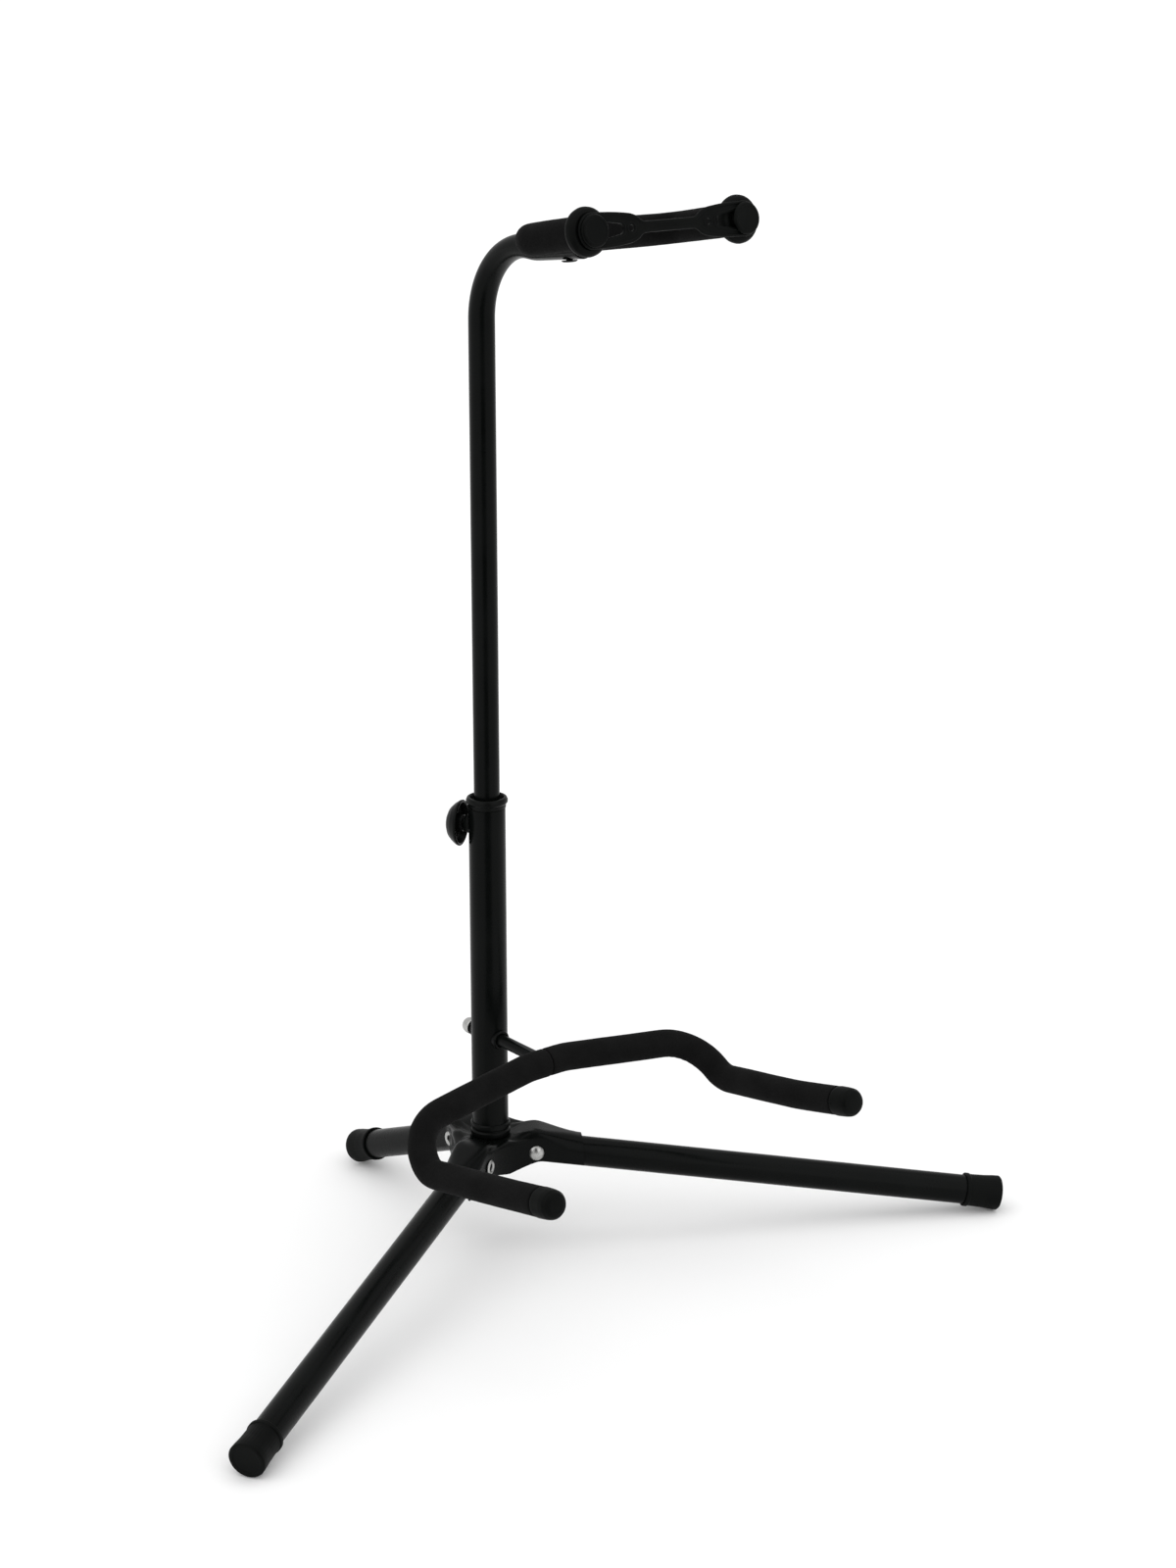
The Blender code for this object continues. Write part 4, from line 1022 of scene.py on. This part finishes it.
def cradle_foams():
    for name, side in SIDES:
        path = resample(cradle_half(side, HALF_SPLIT, PRONG_TIP_Y + CAP_LEN + GAP), 0.0018)
        skin = foam_skin(FOAM_D / 2.0, 7.0 + side, corner_marks(path))
        bm = sweep(path, skin, STEM_D / 2.0 + GAP, seg=60, ease=0.0013, inner_every=4)
        obj = piece("cradle_sleeve_" + name, bm, FOAM, "cradle_foam_" + name, FOAM_SHARP)
        ends = (0.0, BORE_REACH, STEM_Z), (0.0, CRADLE_Y, STEM_Z)
        carve(obj, rod(STEM_D / 2.0 + GAP, *ends, 48), FOAM_SHARP)


def cradle_caps():
    """Round-nosed rubber caps with a slightly swollen mouth."""
    for name, side in SIDES:
        path = cradle_half(side, 0.0, PRONG_TIP_Y)
        tip, along = path[-1], (path[-1] - path[-2]).normalized()
        bore, r, length = STEM_D / 2.0 + GAP, FOAM_D / 2.0 + 0.0003, CAP_LEN - 0.0002
        outline = [(bore, -length), (r - 0.0008, -length, 0.0003),
                   (r - 0.0001, -length + 0.0008, 0.0006), (r, -length + 0.0020, 0.0010),
                   (r - 0.0002, -0.0066, 0.0030), (r - 0.0006, -0.0034, 0.0020),
                   (r - 0.0022, -0.0010, 0.0020), (r - 0.0046, -0.0002, 0.0010), (0.0, 0.0),
                   (0.0, -0.0036), (bore, -0.0036)]
        bm = lathe(outline, frame_to(tip, along), 84)
        piece("prong_cap_" + name, bm, RUBBER, "cradle_cap_" + name)


def stem_fittings():
    bore = STEM_D / 2.0 + GAP
    for name, side in (("front", -1.0), ("rear", 1.0)):
        axis = frame_to((0.0, 0.0, STEM_Z), (0.0, side, 0.0))
        outline = [(bore, 0.009), (0.0063, 0.009), (0.0062, 0.0130, 0.0005),
                   (0.0055, 0.0139, 0.0005), (bore + 0.0003, 0.0139, 0.0002), (bore, 0.0136)]
        obj = piece("stem_ring_" + name, lathe(outline, axis, 56), PLASTIC, "stem_washer_" + name)
        carve(obj, upright_rod(LOWER_D / 2.0 + GAP, STEM_Z))
    axis = frame_to((0.0, 0.0, STEM_Z), (0.0, 1.0, 0.0))
    outline = [(bore, 0.0175), (0.0050, 0.0175, 0.0002), (0.0053, 0.0181, 0.0003),
               (0.0053, 0.0213, 0.0012), (0.0047, 0.0238, 0.0012), (0.0030, 0.0255, 0.0010),
               (0.0, 0.0260), (0.0, STEM_REAR + GAP), (bore, STEM_REAR + GAP)]
    piece("stem_end_cap", lathe(outline, axis, 56), PLATED, "stem_cap")


hub_shell()
for leg_data in LEGS:
    leg_tube(*leg_data)
    foot_cap(*leg_data)
    rivet(*leg_data)
lower_mast()
collar_ring()
bush_ring()
lock_parts()
upper_mast()
yoke_foams()
yoke_knobs()
strap()
cradle_bar()
cradle_foams()
cradle_caps()
stem_fittings()


# ---------------------------------------------------------------- floor, light, camera

CAMERA_AZIMUTH, CAMERA_ELEVATION, CAMERA_ROLL = -37.64, 16.57, -0.06  # degrees
CAMERA_BESIDE, CAMERA_AIM_Z, CAMERA_DISTANCE = 0.0640, 0.3116, 1.9001
CAMERA_SENSOR, CAMERA_LENS = 36.0, 69.06  # millimetres
FLAG_OFFSET, FLAG_HALF, FLAG_R = 6.0, 19.0, 0.46
FLAG_LOW, FLAG_HIGH, FLAG_COLUMNS = 0.002, 0.95, 12
FLOOR_R, SKY_STRENGTH, SUN_STRENGTH, SUN_SPREAD = 80.0, 0.85, 1.5, 110.0


def floor_look():
    look = Look("studio_floor")
    haze = look.noise(0.8, 2.0)
    look.set(Base_Color=look.mix(haze, (0.86, 0.86, 0.86), (0.88, 0.88, 0.88)), Roughness=0.9)
    look.set(Specular_IOR_Level=0.0)
    return look.mat


def flag():
    """Dark card in front of the stand that only shows as a dim band in glossy reflections."""
    middle, half = math.radians(CAMERA_AZIMUTH + FLAG_OFFSET), math.radians(FLAG_HALF)
    bm = bmesh.new()
    columns = []
    for k in range(FLAG_COLUMNS + 1):
        a = middle - half + 2.0 * half * k / FLAG_COLUMNS
        x, y = FLAG_R * math.sin(a), -FLAG_R * math.cos(a)
        columns.append((bm.verts.new((x, y, FLAG_LOW)), bm.verts.new((x, y, FLAG_HIGH))))
    for a, b in zip(columns, columns[1:]):
        bm.faces.new((a[0], b[0], b[1], a[1]))
    mesh = to_mesh(bm, "flag_card")
    look = Look("flag_card")
    deep, pale = (0.01, 0.01, 0.01), (0.02, 0.02, 0.02)
    look.set(Base_Color=look.mix(look.noise(3.0), deep, pale), Roughness=1.0)
    look.set(Specular_IOR_Level=0.0)
    mesh.materials.append(look.mat)
    card = new_object("flag_card", mesh)
    card.visible_camera = False
    card.visible_diffuse = False
    card.visible_shadow = False


def studio():
    bpy.ops.mesh.primitive_circle_add(vertices=96, radius=FLOOR_R, fill_type="NGON")
    floor = bpy.context.object
    floor.name = "studio_floor"
    floor.data.materials.append(floor_look())
    flag()
    world = bpy.data.worlds.new("studio")
    world.use_nodes = True
    sky = world.node_tree.nodes["Background"]
    sky.inputs["Color"].default_value = (1.0, 1.0, 1.0, 1.0)
    sky.inputs["Strength"].default_value = SKY_STRENGTH
    bpy.context.scene.world = world
    sun = bpy.data.lights.new("soft_key", "SUN")
    sun.energy = SUN_STRENGTH
    sun.angle = math.radians(SUN_SPREAD)
    key = new_object("soft_key", sun)
    key.rotation_euler = (math.radians(25.0), math.radians(-20.0), 0.0)
    bpy.context.scene.view_settings.view_transform = "Standard"
    bpy.context.scene.view_settings.look = "None"


def camera():
    """The photograph's view: from the front and the stand's left, a little from above."""
    azimuth, elevation = math.radians(CAMERA_AZIMUTH), math.radians(CAMERA_ELEVATION)
    roll = math.radians(CAMERA_ROLL)
    level = math.cos(elevation)
    back = Vector((math.sin(azimuth) * level, -math.cos(azimuth) * level, math.sin(elevation)))
    right = Vector((math.cos(azimuth), math.sin(azimuth), 0.0))
    up = back.cross(right)
    aim = right * CAMERA_BESIDE + Vector((0.0, 0.0, CAMERA_AIM_Z))
    turned = math.cos(roll) * right + math.sin(roll) * up
    up = -math.sin(roll) * right + math.cos(roll) * up
    lens = bpy.data.cameras.new("camera")
    lens.sensor_width = CAMERA_SENSOR
    lens.lens = CAMERA_LENS
    lens.clip_start, lens.clip_end = 0.05, 400.0
    eye = new_object("camera", lens)
    spot = Matrix((turned, up, back)).transposed().to_4x4()
    spot.translation = aim + back * CAMERA_DISTANCE
    eye.matrix_world = spot
    bpy.context.scene.camera = eye


studio()
camera()
